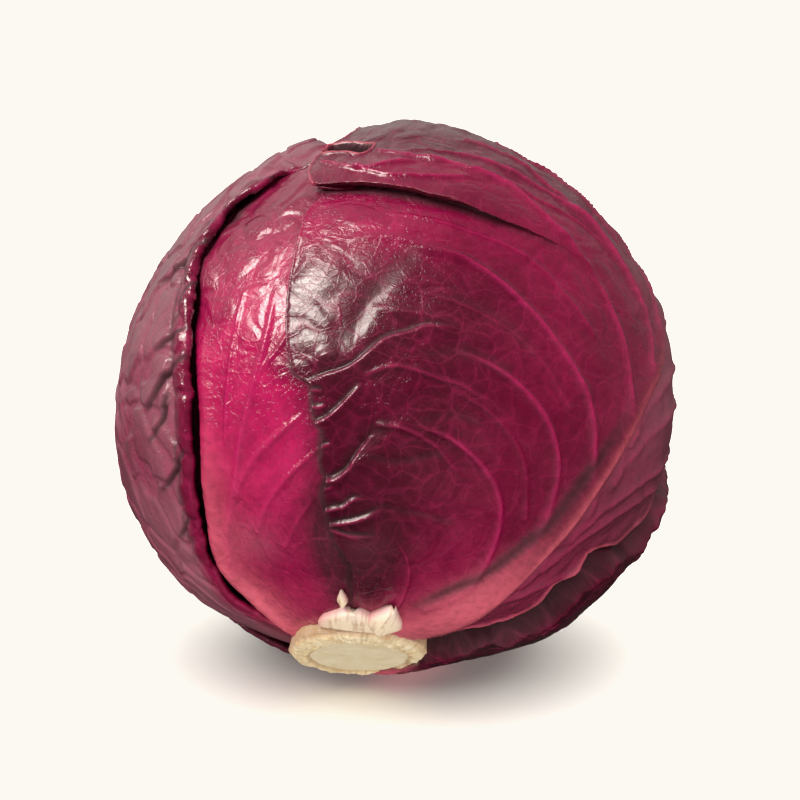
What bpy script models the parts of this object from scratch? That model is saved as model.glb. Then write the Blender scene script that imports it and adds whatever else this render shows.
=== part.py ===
"""A red cabbage head, built leaf by leaf: wrapper leaves, inner leaves, heart, cut stem and leaf stubs.

Metres, +Z up. The head is modelled growing upright around its centre, with the stem below. An empty at
the centre then leans it back and to one side, so that it rests on a flat spot of its back leaf.

A direction from the centre is given by two angles in degrees: the angle away from the stem (0 at the
stem, 180 at the crown) and the azimuth round the stem (0 at the front, 90 on the right).
"""

import math

import bpy
import numpy as np

MM = 0.001

# Head
HEAD_RADIUS = 80.6 * MM
CENTRE_HEIGHT = 75.5 * MM
CENTRE_SHIFT = (-1.12 * MM, -1.98 * MM)
LEAN_BACK = 36.4
LEAN_SIDE = 9.8

# Where the head is flatter or fuller than a ball: direction, width in degrees, height
SWELLS = (
    ((-0.68, -0.10, 0.72), 42.0, -4.0 * MM),
    ((-0.88, -0.20, -0.42), 34.0, 1.4 * MM),
    ((0.0, -0.25, -0.97), 34.0, -5.3 * MM),
)

# Wrapper leaves, the outermost first
LAYER_STEP = 2.0 * MM
BLADE = 1.1 * MM
WRAPPER_MIDDLE = 84.0
WRAPPER_BASE = 15.0
WRAPPER_CELLS = 18

# Midribs: width in degrees, and the share of it that is left at the leaf's tip
RIB_WIDTH = 9.0
RIB_WIDTH_AT_TIP = 0.35

# Inner leaves, from just under the wrappers to the heart
INNER_COUNT = 12
INNER_OUTSIDE = 71.4 * MM
INNER_INSIDE = 23.0 * MM
INNER_FILL = 0.62
INNER_MIDDLE = 88.0
INNER_HALF_WIDTH = 84.0
INNER_TO_TIP = 104.0
INNER_BASE_GAP = 1.0
INNER_CELLS = 10
TURN_PER_LEAF = 137.5
FIRST_INNER_AZIMUTH = 120.0

# Stem, with the cut face at the bottom
STEM_TOP = -19.0 * MM
STEM_TOP_RADIUS = 6.0 * MM
STEM_CUT = -76.2 * MM
STEM_RIM_RADIUS = 18.3 * MM
STEM_CORE_RADIUS = 13.0 * MM
STEM_NECK_RADIUS = 16.2 * MM
STEM_RIM_HEIGHT = 3.0 * MM
STEM_NECK_HEIGHT = 4.8 * MM
STEM_CHAMFER = 0.8 * MM
STEM_GROOVE = 0.5 * MM
STEM_BEND_SHARE = 0.65
STEM_STEPS = 32
STEM_CLEARANCE = 0.9 * MM

# Stubs of older leaves
STUB_CELLS = 6

# Heart
HEART_RADIUS = 16.0 * MM
HEART_CENTRE = -1.6 * MM
HEART_SEGMENTS = 20
HEART_RINGS = 12

# Block that cuts the flat spot
CUTTER_WIDTH = 120.0 * MM
CUTTER_DEPTH = 20.0 * MM

COLLECTION_NAME = "red_cabbage_head"


def clear_scene():
    for obj in list(bpy.data.objects):
        bpy.data.objects.remove(obj, do_unlink=True)


def new_collection(name):
    collection = bpy.data.collections.new(name)
    bpy.context.scene.collection.children.link(collection)
    return collection


def make_material(name, colour, roughness):
    material = bpy.data.materials.new(name)
    material.use_nodes = True
    shader = material.node_tree.nodes["Principled BSDF"]
    shader.inputs["Base Color"].default_value = (*colour, 1.0)
    shader.inputs["Roughness"].default_value = roughness
    shader.inputs["Metallic"].default_value = 0.0
    return material


def add_centre_empty(collection):
    """The head's centre: everything grown upright is parented here and leans with it."""
    centre = bpy.data.objects.new("head_centre", None)
    centre.location = (*CENTRE_SHIFT, CENTRE_HEIGHT)
    centre.rotation_euler = (math.radians(-LEAN_BACK), math.radians(LEAN_SIDE), 0.0)
    collection.objects.link(centre)
    bpy.context.view_layer.update()
    return centre


def keep(obj, name, collection, material, parent):
    """Name an object, give it its material and put it under the head's centre."""
    obj.name = name
    obj.data.name = name
    for old in list(obj.users_collection):
        old.objects.unlink(obj)
    collection.objects.link(obj)
    obj.data.materials.append(material)
    obj.parent = parent
    return obj


def leaf_axes(from_stem, azimuth):
    """Unit vectors at a leaf's middle: outward, toward the crown and to the side."""
    a, b = math.radians(from_stem), math.radians(azimuth)
    outward = np.array([math.sin(a) * math.sin(b), -math.sin(a) * math.cos(b), -math.cos(a)])
    crownward = np.array([math.cos(a) * math.sin(b), -math.cos(a) * math.cos(b), math.sin(a)])
    sideways = np.array([math.cos(b), math.sin(b), 0.0])
    return outward, crownward, sideways


def head_radius(directions, lean):
    """Radius of the whole head in each direction; the swells are given in resting directions."""
    resting = directions @ lean.T
    radius = np.full(len(directions), HEAD_RADIUS)
    for direction, width, height in SWELLS:
        unit = np.array(direction) / np.linalg.norm(direction)
        angle = np.degrees(np.arccos(np.clip(resting @ unit, -1.0, 1.0)))
        radius += height * np.exp(-((angle / width) ** 2))
    return radius


def add_leaf(name, leaf, cells, collection, material, centre):
    """A leaf blade wrapped on the head.

    A square grid is rounded to a disc, x = u sqrt(1 - v^2 / 2) and y = v sqrt(1 - u^2 / 2), and laid on
    the head by keeping each point's angle and distance from the leaf's middle. Solidify then thickens
    the blade outward by a vertex group, which makes the midrib and the base stand out.
    """
    bpy.ops.mesh.primitive_grid_add(x_subdivisions=cells, y_subdivisions=cells, size=2.0)
    obj = bpy.context.object
    mesh = obj.data
    points = np.empty(len(mesh.vertices) * 3)
    mesh.vertices.foreach_get("co", points)
    u, v = points.reshape(-1, 3)[:, 0], points.reshape(-1, 3)[:, 1]
    x = u * np.sqrt(1.0 - v**2 / 2.0)
    y = v * np.sqrt(1.0 - u**2 / 2.0)
    side_angle = np.radians(leaf["half_width"]) * x
    crown_angle = np.radians(np.where(y > 0.0, leaf["to_tip"], leaf["to_base"])) * y

    outward, crownward, sideways = leaf_axes(leaf["from_stem"], leaf["azimuth"])
    distance = np.hypot(side_angle, crown_angle)[:, None]
    bearing = np.arctan2(side_angle, crown_angle)[:, None]
    tangent = np.sin(bearing) * sideways + np.cos(bearing) * crownward
    directions = np.cos(distance) * outward + np.sin(distance) * tangent

    lean = np.array(centre.matrix_world.to_3x3())
    radius = head_radius(directions, lean) / HEAD_RADIUS * (HEAD_RADIUS - leaf["depth"]) - leaf["blade"]
    mesh.vertices.foreach_set("co", (directions * radius[:, None]).ravel())

    toward_base = (1.0 - y) / 2.0
    rib_width = np.radians(RIB_WIDTH) * (RIB_WIDTH_AT_TIP + (1.0 - RIB_WIDTH_AT_TIP) * toward_base)
    rib = leaf["rib_height"] * toward_base * np.exp(-((side_angle / rib_width) ** 2))
    base = leaf["base_height"] * np.clip(2.0 * toward_base - 1.0, 0.0, 1.0)
    thickest = leaf["blade"] + leaf["rib_height"] + leaf["base_height"]
    group = obj.vertex_groups.new(name="thickness")
    for index, weight in enumerate((leaf["blade"] + rib + base) / thickest):
        group.add([index], float(weight), "REPLACE")
    mesh.update()

    solid = obj.modifiers.new("blade", "SOLIDIFY")
    solid.thickness = thickest
    solid.offset = 1.0
    solid.use_even_offset = True
    solid.vertex_group = group.name
    return keep(obj, name, collection, material, centre)


def wrapper(azimuth, layer, half_width=77.0, to_tip=88.0, rib_height=2.4 * MM, base_height=0.0):
    """A wrapper leaf; layer 0 is outermost."""
    return {
        "from_stem": WRAPPER_MIDDLE,
        "azimuth": azimuth,
        "half_width": half_width,
        "to_tip": to_tip,
        "to_base": WRAPPER_MIDDLE - WRAPPER_BASE,
        "depth": layer * LAYER_STEP,
        "blade": BLADE,
        "rib_height": rib_height,
        "base_height": base_height,
    }


def add_wrapper_leaves(collection, material, centre):
    add_leaf("wrapper_leaf_back", wrapper(150.0, 0, half_width=80.0, base_height=1.8 * MM), WRAPPER_CELLS,
             collection, material, centre)
    add_leaf("wrapper_leaf_left", wrapper(-119.0, 1, to_tip=84.0, rib_height=0.5 * MM), WRAPPER_CELLS,
             collection, material, centre)
    add_leaf("wrapper_leaf_right", wrapper(55.0, 2, to_tip=108.0, rib_height=3.0 * MM),
             WRAPPER_CELLS, collection, material, centre)
    add_leaf("wrapper_leaf_front", wrapper(-45.0, 3, rib_height=1.2 * MM), WRAPPER_CELLS,
             collection, material, centre)


def stem_radius_at(height):
    """Radius of the stem's side at a height below the centre."""
    share = (STEM_TOP - height) / (STEM_TOP - STEM_CUT)
    return STEM_TOP_RADIUS + (STEM_NECK_RADIUS - STEM_TOP_RADIUS) * min(max(share, 0.0), 1.0)


def add_inner_leaves(collection, material, centre):
    pitch = (INNER_OUTSIDE - INNER_INSIDE) / (INNER_COUNT - 1)
    for number in range(INNER_COUNT):
        outside = INNER_OUTSIDE - number * pitch
        clear_of_stem = (stem_radius_at(-outside) + STEM_CLEARANCE) / (outside - INNER_FILL * pitch)
        base = math.degrees(math.asin(clear_of_stem)) + INNER_BASE_GAP
        leaf = {
            "from_stem": INNER_MIDDLE,
            "azimuth": FIRST_INNER_AZIMUTH + number * TURN_PER_LEAF,
            "half_width": INNER_HALF_WIDTH,
            "to_tip": INNER_TO_TIP,
            "to_base": INNER_MIDDLE - base,
            "depth": HEAD_RADIUS - outside,
            "blade": INNER_FILL * pitch,
            "rib_height": 0.0,
            "base_height": 0.0,
        }
        add_leaf(f"inner_leaf_{number + 1:02d}", leaf, INNER_CELLS, collection, material, centre)


def add_stem(collection, material, centre):
    """The stem: a profile from the top of the core down to the cut face, turned about the axis."""
    bend = STEM_CUT * STEM_BEND_SHARE
    profile = (
        (0.0, STEM_TOP),
        (STEM_TOP_RADIUS, STEM_TOP),
        (stem_radius_at(bend), bend),
        (STEM_NECK_RADIUS, STEM_CUT + STEM_NECK_HEIGHT),
        (STEM_RIM_RADIUS, STEM_CUT + STEM_RIM_HEIGHT),
        (STEM_RIM_RADIUS, STEM_CUT + STEM_CHAMFER),
        (STEM_RIM_RADIUS - STEM_CHAMFER, STEM_CUT),
        (STEM_CORE_RADIUS + STEM_GROOVE, STEM_CUT),
        (STEM_CORE_RADIUS, STEM_CUT + STEM_GROOVE),
        (STEM_CORE_RADIUS - STEM_GROOVE, STEM_CUT),
        (0.0, STEM_CUT),
    )
    mesh = bpy.data.meshes.new("stem")
    mesh.from_pydata([(x, 0.0, z) for x, z in profile], [(i, i + 1) for i in range(len(profile) - 1)], [])
    obj = bpy.data.objects.new("stem", mesh)
    collection.objects.link(obj)
    turn = obj.modifiers.new("turn", "SCREW")
    turn.axis = "Z"
    turn.angle = math.tau
    turn.steps = STEM_STEPS
    turn.render_steps = STEM_STEPS
    turn.use_merge_vertices = True
    turn.merge_threshold = 0.00001
    return keep(obj, "stem", collection, material, centre)


def add_heart(collection, material, centre):
    bpy.ops.mesh.primitive_uv_sphere_add(segments=HEART_SEGMENTS, ring_count=HEART_RINGS, radius=HEART_RADIUS)
    obj = bpy.context.object
    obj.location = (0.0, 0.0, HEART_CENTRE)
    return keep(obj, "heart", collection, material, centre)


def add_stubs(collection, material, centre):
    """What is left of older leaves that were cut away, round the front and back of the stem."""
    stubs = {
        "cut_leaf_base_front": (16.9, -9.0, 2.8, 6.2, 2.6 * MM, -0.4 * MM),
        "cut_leaf_stub_right": (23.4, 9.0, 3.0, 2.8, 1.3 * MM, 1.3 * MM),
        "cut_leaf_stub_left": (22.6, -14.0, 2.6, 1.7, 1.0 * MM, 1.3 * MM),
        "cut_leaf_base_back": (16.6, -160.0, 2.0, 2.4, 1.6 * MM, 1.0 * MM),
    }
    for name, (from_stem, azimuth, half_height, half_width, blade, depth) in stubs.items():
        leaf = {
            "from_stem": from_stem,
            "azimuth": azimuth,
            "half_width": half_width,
            "to_tip": half_height,
            "to_base": half_height,
            "depth": depth,
            "blade": blade,
            "rib_height": 0.0,
            "base_height": 0.0,
        }
        add_leaf(name, leaf, STUB_CELLS, collection, material, centre)


def flatten_underside(obj, helpers):
    """Cut off what would reach below the bench, which leaves the flat spot that the head rests on."""
    bpy.ops.mesh.primitive_cube_add(size=1.0)
    cutter = bpy.context.object
    cutter.name = "bench_cutter"
    cutter.scale = (CUTTER_WIDTH, CUTTER_WIDTH, CUTTER_DEPTH)
    cutter.location = (0.0, 0.0, -CUTTER_DEPTH / 2.0)
    for old in list(cutter.users_collection):
        old.objects.unlink(cutter)
    helpers.objects.link(cutter)
    cutter.hide_render = True
    cutter.display_type = "WIRE"
    cut = obj.modifiers.new("flat_spot", "BOOLEAN")
    cut.operation = "DIFFERENCE"
    cut.solver = "EXACT"
    cut.object = cutter


def main():
    clear_scene()
    collection = new_collection(COLLECTION_NAME)
    helpers = new_collection("helpers")
    helpers.hide_render = True
    wrapper_skin = make_material("wrapper_leaf", (0.20, 0.012, 0.07), 0.38)
    inner_skin = make_material("inner_leaf", (0.33, 0.03, 0.16), 0.45)
    stem_flesh = make_material("stem_flesh", (0.74, 0.66, 0.42), 0.6)
    stub_flesh = make_material("stub_flesh", (0.80, 0.55, 0.52), 0.55)
    centre = add_centre_empty(collection)
    add_wrapper_leaves(collection, wrapper_skin, centre)
    add_inner_leaves(collection, inner_skin, centre)
    add_heart(collection, inner_skin, centre)
    add_stem(collection, stem_flesh, centre)
    add_stubs(collection, stub_flesh, centre)
    flatten_underside(bpy.data.objects["wrapper_leaf_back"], helpers)


main()
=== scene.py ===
"""A red cabbage head lying on its side: wrapper leaves, stem and leaf stubs as worked-out surfaces.

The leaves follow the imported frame. A direction from the head's centre is given by two angles in
degrees: the angle away from the stem (0 at the stem, 180 at the crown) and the azimuth round the stem
(0 at the front, 90 on the right). Lengths on the head are in millimetres until a mesh is made.
"""

import math

import bpy
import numpy as np
from bpy.props import FloatProperty, FloatVectorProperty, IntProperty, PointerProperty
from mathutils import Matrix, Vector


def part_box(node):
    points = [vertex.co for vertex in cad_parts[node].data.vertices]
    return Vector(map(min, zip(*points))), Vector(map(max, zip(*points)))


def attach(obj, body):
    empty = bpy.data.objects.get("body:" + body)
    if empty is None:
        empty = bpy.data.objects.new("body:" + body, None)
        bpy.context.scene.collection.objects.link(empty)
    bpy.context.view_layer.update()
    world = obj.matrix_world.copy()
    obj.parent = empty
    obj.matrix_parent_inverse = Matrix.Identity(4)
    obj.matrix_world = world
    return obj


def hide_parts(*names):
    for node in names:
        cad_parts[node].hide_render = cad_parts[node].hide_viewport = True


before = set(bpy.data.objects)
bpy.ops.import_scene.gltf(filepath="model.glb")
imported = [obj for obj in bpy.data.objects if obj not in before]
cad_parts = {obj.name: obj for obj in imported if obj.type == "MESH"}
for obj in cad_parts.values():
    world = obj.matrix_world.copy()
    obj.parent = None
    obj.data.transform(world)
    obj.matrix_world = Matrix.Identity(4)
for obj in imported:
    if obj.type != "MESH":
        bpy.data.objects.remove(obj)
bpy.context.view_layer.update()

bl_info = {
    "name": "Red Cabbage Head",
    "version": (1, 0, 0),
    "blender": (4, 5, 0),
    "location": "View3D > Sidebar > Cabbage",
    "description": "Builds the leaves, stem and stage of a red cabbage head around its frame",
    "category": "Object",
}

MM = 0.001
HEAD_RADIUS = 80.6
HEART_DROP = 1.6
FLOOR_GAP = 0.05
INNER_LEAVES = sorted(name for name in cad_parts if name.startswith("inner_leaf"))

# Where the head is flatter or fuller than a ball: resting direction, width in degrees, height
SWELLS = (
    ((-0.68, -0.10, 0.72), 42.0, -4.0),
    ((-0.88, -0.20, -0.42), 34.0, 1.4),
    ((0.0, -0.25, -0.97), 34.0, -5.3),
)


# Settings -------------------------------------------------------------------------------------------

class CabbageShape(bpy.types.PropertyGroup):
    lean_back: FloatProperty(
        name="Lean back", description="Tilt of the head away from upright",
        default=math.radians(36.4), subtype="ANGLE")
    lean_side: FloatProperty(
        name="Lean to the side", description="Roll of the head to its right",
        default=math.radians(9.8), subtype="ANGLE")
    rows: IntProperty(
        name="Rows", description="Mesh rows of a leaf, from base to tip", default=440, min=40)
    columns: IntProperty(
        name="Columns", description="Mesh columns across a leaf's outer side", default=210, min=40)
    wrinkle: FloatProperty(
        name="Wrinkles", description="Strength of the fine wrinkles between the veins",
        default=1.0, min=0.0, max=3.0)


class CabbageColours(bpy.types.PropertyGroup):
    purple: FloatVectorProperty(
        name="Purple", description="Leaf blade away from the veins", size=3, subtype="COLOR",
        default=(0.050, 0.0008, 0.0100), min=0.0, max=1.0)
    magenta: FloatVectorProperty(
        name="Magenta", description="Leaf blade where it is young and bright", size=3, subtype="COLOR",
        default=(0.38, 0.0015, 0.072), min=0.0, max=1.0)
    # Also painted as highlights along the pleats' lips.
    vein: FloatVectorProperty(
        name="Vein", description="Raised veins", size=3, subtype="COLOR",
        default=(0.38, 0.008, 0.090), min=0.0, max=1.0)
    # Also painted as highlight lines along the fold's and the hole's rims.
    pale: FloatVectorProperty(
        name="Pale base", description="Thick leaf bases near the stem", size=3, subtype="COLOR",
        default=(0.60, 0.105, 0.155), min=0.0, max=1.0)
    bloom: FloatVectorProperty(
        name="Bloom", description="Dusty wax on the older leaves", size=3, subtype="COLOR",
        default=(0.28, 0.090, 0.130), min=0.0, max=1.0)
    # Painted shade: creases, slits, gaps between leaves, the fold's underside and the hole's inside are
    # painted with this colour; it also tints random speckles.
    shade: FloatVectorProperty(
        name="Crease", description="Deep creases and gaps between leaves", size=3, subtype="COLOR",
        default=(0.028, 0.0010, 0.006), min=0.0, max=1.0)
    stem: FloatVectorProperty(
        name="Stem", description="Cut face of the stem", size=3, subtype="COLOR",
        default=(0.67, 0.57, 0.41), min=0.0, max=1.0)


def shape_settings():
    """The sizes that the sidebar shows."""
    return bpy.context.scene.cabbage_shape


def colour_settings():
    """The colours that the sidebar shows."""
    return bpy.context.scene.cabbage_colours


# Directions on the head ----------------------------------------------------------------------------

def head_turn():
    """The turn from the upright head to the resting one: back about X, then sideways about Y."""
    sizes = shape_settings()
    back, side = -sizes.lean_back, sizes.lean_side
    about_x = np.array([[1, 0, 0],
                        [0, math.cos(back), -math.sin(back)],
                        [0, math.sin(back), math.cos(back)]])
    about_y = np.array([[math.cos(side), 0, math.sin(side)],
                        [0, 1, 0],
                        [-math.sin(side), 0, math.cos(side)]])
    return about_y @ about_x


def head_centre():
    """The head's centre in millimetres, from the heart's box in the frame."""
    low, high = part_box("heart")
    middle = (np.array(low) + np.array(high)) / 2.0 / MM
    return middle + head_turn() @ np.array([0.0, 0.0, HEART_DROP])


def direction(from_stem, azimuth):
    """Unit vectors of the upright head for angles in degrees."""
    a, b = np.radians(from_stem), np.radians(azimuth)
    return np.stack([np.sin(a) * np.sin(b), -np.sin(a) * np.cos(b), -np.cos(a)], axis=-1)


def head_angles(directions):
    """Angle from the stem and azimuth, in degrees, of unit vectors."""
    from_stem = np.degrees(np.arccos(np.clip(-directions[..., 2], -1.0, 1.0)))
    azimuth = np.degrees(np.arctan2(directions[..., 0], -directions[..., 1]))
    return from_stem, azimuth


def head_radius(directions):
    """Radius of the whole head: a ball plus one bell-shaped swell for each entry of SWELLS."""
    resting = directions @ head_turn().T
    radius = np.full(directions.shape[:-1], HEAD_RADIUS)
    for towards, width, height in SWELLS:
        unit = np.array(towards) / np.linalg.norm(towards)
        angle = np.degrees(np.arccos(np.clip(resting @ unit, -1.0, 1.0)))
        radius = radius + height * np.exp(-((angle / width) ** 2))
    return radius


def leaf_axes(leaf):
    """Unit vectors of a leaf's middle, of the way from there to the crown and of the way to its right."""
    middle = direction(leaf["from_stem"], leaf["azimuth"])
    a, b = math.radians(leaf["from_stem"]), math.radians(leaf["azimuth"])
    crownward = np.array([math.cos(a) * math.sin(b), -math.cos(a) * math.cos(b), math.sin(a)])
    sideways = np.array([math.cos(b), math.sin(b), 0.0])
    return middle, crownward, sideways


def leaf_to_head(leaf, x, y):
    """Lays leaf angles on the head: the distance from the leaf's middle and its bearing are kept."""
    middle, crownward, sideways = leaf_axes(leaf)
    distance = np.radians(np.hypot(x, y))[..., None]
    bearing = np.arctan2(x, y)[..., None]
    tangent = np.sin(bearing) * sideways + np.cos(bearing) * crownward
    return np.cos(distance) * middle + np.sin(distance) * tangent


def head_to_leaf(leaf, directions):
    """The other way round: side angle and crown angle in degrees for unit vectors."""
    middle, crownward, sideways = leaf_axes(leaf)
    distance = np.degrees(np.arccos(np.clip(directions @ middle, -1.0, 1.0)))
    bearing = np.arctan2(directions @ sideways, directions @ crownward)
    return distance * np.sin(bearing), distance * np.cos(bearing)


# Fields ---------------------------------------------------------------------------------------------

def step(low, high, value):
    """Smooth step: 0 below low, 1 above high, 3t^2 - 2t^3 between."""
    t = np.clip((value - low) / (high - low), 0.0, 1.0)
    return t * t * (3.0 - 2.0 * t)


def fall(low, high, value):
    """The other way round: 1 below low, 0 above high."""
    return 1.0 - step(low, high, value)


def bell(value, width):
    """Bell curve: exp of minus the square of value / width, 1 at 0."""
    return np.exp(-((value / width) ** 2))


def patch(from_stem, azimuth, place):
    """A soft patch on the head: a bell over its reach away from the stem and round it, in degrees."""
    (up, around), (reach_up, reach_around) = place
    return bell(np.hypot((from_stem - up) / reach_up, (azimuth - around) / reach_around), 1.0)


def scramble(x, y, z, seed):
    """A whole number for each lattice point, mixed by multiplying and shifting."""
    mixed = (x * 374761393 + y * 668265263 + z * 362437 + seed * 974711) & 0xFFFFFFFF
    mixed = ((mixed ^ (mixed >> 13)) * 1274126177) & 0xFFFFFFFF
    return mixed ^ (mixed >> 16)


def noise(points, size, seed):
    """Gradient noise: at each lattice corner a scrambled slope, blended by 6t^5 - 15t^4 + 10t^3."""
    place = points / size
    cell = np.floor(place).astype(np.int64)
    part = place - cell
    fade = part * part * part * (part * (part * 6.0 - 15.0) + 10.0)
    total = np.zeros(points.shape[:-1])
    for corner in np.ndindex(2, 2, 2):
        near = cell + np.array(corner)
        mixed = scramble(near[..., 0], near[..., 1], near[..., 2], seed)
        slope = np.stack([(mixed >> shift & 1023) / 511.5 - 1.0 for shift in (0, 10, 20)], axis=-1)
        share = np.where(np.array(corner) == 1, fade, 1.0 - fade).prod(axis=-1)
        total += share * (slope * (part - np.array(corner))).sum(axis=-1)
    return total * 1.6


def cells(u, v, seed):
    """Cell pattern of jittered points on a square lattice: nearest distance and distance to the border."""
    iu, iv = np.floor(u).astype(np.int64), np.floor(v).astype(np.int64)
    first = np.full(u.shape, 9.0)
    second = np.full(u.shape, 9.0)
    for du in (-1, 0, 1):
        for dv in (-1, 0, 1):
            mixed = scramble(iu + du, iv + dv, 0, seed)
            pu = iu + du + 0.5 + 0.8 * ((mixed & 1023) / 1023.0 - 0.5)
            pv = iv + dv + 0.5 + 0.8 * ((mixed >> 10 & 1023) / 1023.0 - 0.5)
            distance = np.hypot(u - pu, v - pv)
            second = np.minimum(second, np.maximum(distance, first))
            first = np.minimum(first, distance)
    return first, second - first


def curve(points, samples=90):
    """A smooth curve over the head through (angle from stem, azimuth) points, as unit vectors."""
    ends = direction(*np.array(points, float).T)
    ends = np.vstack([2 * ends[0] - ends[1], ends, 2 * ends[-1] - ends[-2]])
    place = np.linspace(0.0, len(points) - 1.0001, samples)
    k = np.floor(place).astype(int)
    t = (place - k)[:, None]
    p0, p1, p2, p3 = ends[k], ends[k + 1], ends[k + 2], ends[k + 3]
    line = 0.5 * (2 * p1 + (p2 - p0) * t + (2 * p0 - 5 * p1 + 4 * p2 - p3) * t**2
                  + (3 * p1 - p0 - 3 * p2 + p3) * t**3)
    return line / np.linalg.norm(line, axis=1)[:, None]


def beside(directions, line):
    """For each direction: signed millimetres to the right of a curve, millimetres past its ends and
    the share of the curve's length at the nearest point."""
    nearest = (directions.reshape(-1, 3).astype(np.float32) @ line.T.astype(np.float32)).argmax(axis=1)
    nearest = nearest.reshape(directions.shape[:-1])
    along = np.gradient(line, axis=0)
    along /= np.linalg.norm(along, axis=1)[:, None]
    rightward = np.cross(along, line)
    offset = (directions - line[nearest]) * HEAD_RADIUS
    across = (offset * rightward[nearest]).sum(axis=-1)
    forward = (offset * along[nearest]).sum(axis=-1)
    last = len(line) - 1
    past = np.where(nearest == 0, np.maximum(-forward, 0.0), 0.0)
    past = np.where(nearest == last, np.maximum(forward, 0.0), past)
    return across, past, nearest / last


def ridge(directions, points, width, taper=0.6, start=0.0):
    """A raised line: bell-shaped across, thinning to a share of its width and fading at its end."""
    across, past, share = beside(directions, curve(points))
    wide = width * (1.0 - taper * share)
    strength = bell(np.hypot(across, past), wide) * fall(0.75, 1.0, share)
    return strength * step(-0.001, max(start, 0.001), share)


def crease(directions, points, lip, width):
    """An overlapping pleat: a lip on the curve's right that swells up, and a slit along its left.

    Returns the height, the painted shade in the slit and the painted highlight on the lip's edge."""
    across, past, share = beside(directions, curve(points))
    open_ends = np.sin(np.pi * np.clip(0.25 + 0.75 * share, 0.0, 1.0)) ** 0.7 * bell(past, width * 0.5)
    over = step(-0.55, 0.55, across)
    raised = bell(np.maximum(across, 0.0), width) * over
    sunk = np.exp(np.minimum(across, 0.0) / (width * 0.6)) * (1.0 - over)
    height = open_ends * lip * (raised - 0.6 * sunk)
    # Painted shade along the slit, then a painted highlight along the lip's edge.
    painted_shade = open_ends * bell(across + 0.45, 0.40 + 0.12 * width)
    bright = open_ends * bell(across - 0.35, 0.35)
    return height, painted_shade, bright


# Leaf meshes ----------------------------------------------------------------------------------------

def interpolate(knots, values, places):
    """Piecewise cubic through the knots with slopes that never overshoot."""
    knots, values = np.array(knots, float), np.array(values, float)
    rise = np.diff(values) / np.diff(knots)
    slopes = np.zeros_like(values)
    both = rise[:-1] * rise[1:] > 0
    slopes[1:-1][both] = 2.0 / (1.0 / rise[:-1][both] + 1.0 / rise[1:][both])
    slopes[0], slopes[-1] = rise[0], rise[-1]
    k = np.clip(np.searchsorted(knots, places) - 1, 0, len(rise) - 1)
    span = knots[k + 1] - knots[k]
    t = np.clip((places - knots[k]) / span, 0.0, 1.0)
    return ((2 * t**3 - 3 * t**2 + 1) * values[k] + (t**3 - 2 * t**2 + t) * span * slopes[k]
            + (3 * t**2 - 2 * t**3) * values[k + 1] + (t**3 - t**2) * span * slopes[k + 1])


def margin(points, from_stem):
    """Azimuth of a leaf margin at each row, from (angle from stem, azimuth) points."""
    knots, azimuths = zip(*points)
    return interpolate(knots, azimuths, from_stem)


def margins(leaf, from_stem):
    """Both margins of a leaf; a stub's narrow to its point instead of following listed points."""
    if "left_margin" in leaf:
        return margin(leaf["left_margin"], from_stem), margin(leaf["right_margin"], from_stem)
    along = (from_stem - leaf["base"]) / (leaf["tip"] - leaf["base"])
    half = leaf["half_width"] * (1.0 - leaf["point"] * step(0.2, 1.0, along))
    half = half / np.sin(np.radians(from_stem))
    return leaf["azimuth"] - half, leaf["azimuth"] + half


def spaced(count, marks):
    """Places from 0 to 1 whose density changes: marks are (share of the rows, place) pairs."""
    shares, places = zip(*marks)
    return np.interp(np.linspace(0.0, 1.0, count), shares, places)


def per_degree(from_stem):
    """Millimetres of arc for a degree of azimuth, kept above a small value near the poles."""
    return np.maximum(HEAD_RADIUS * math.radians(1.0) * np.sin(np.radians(from_stem)), 0.08)


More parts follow.
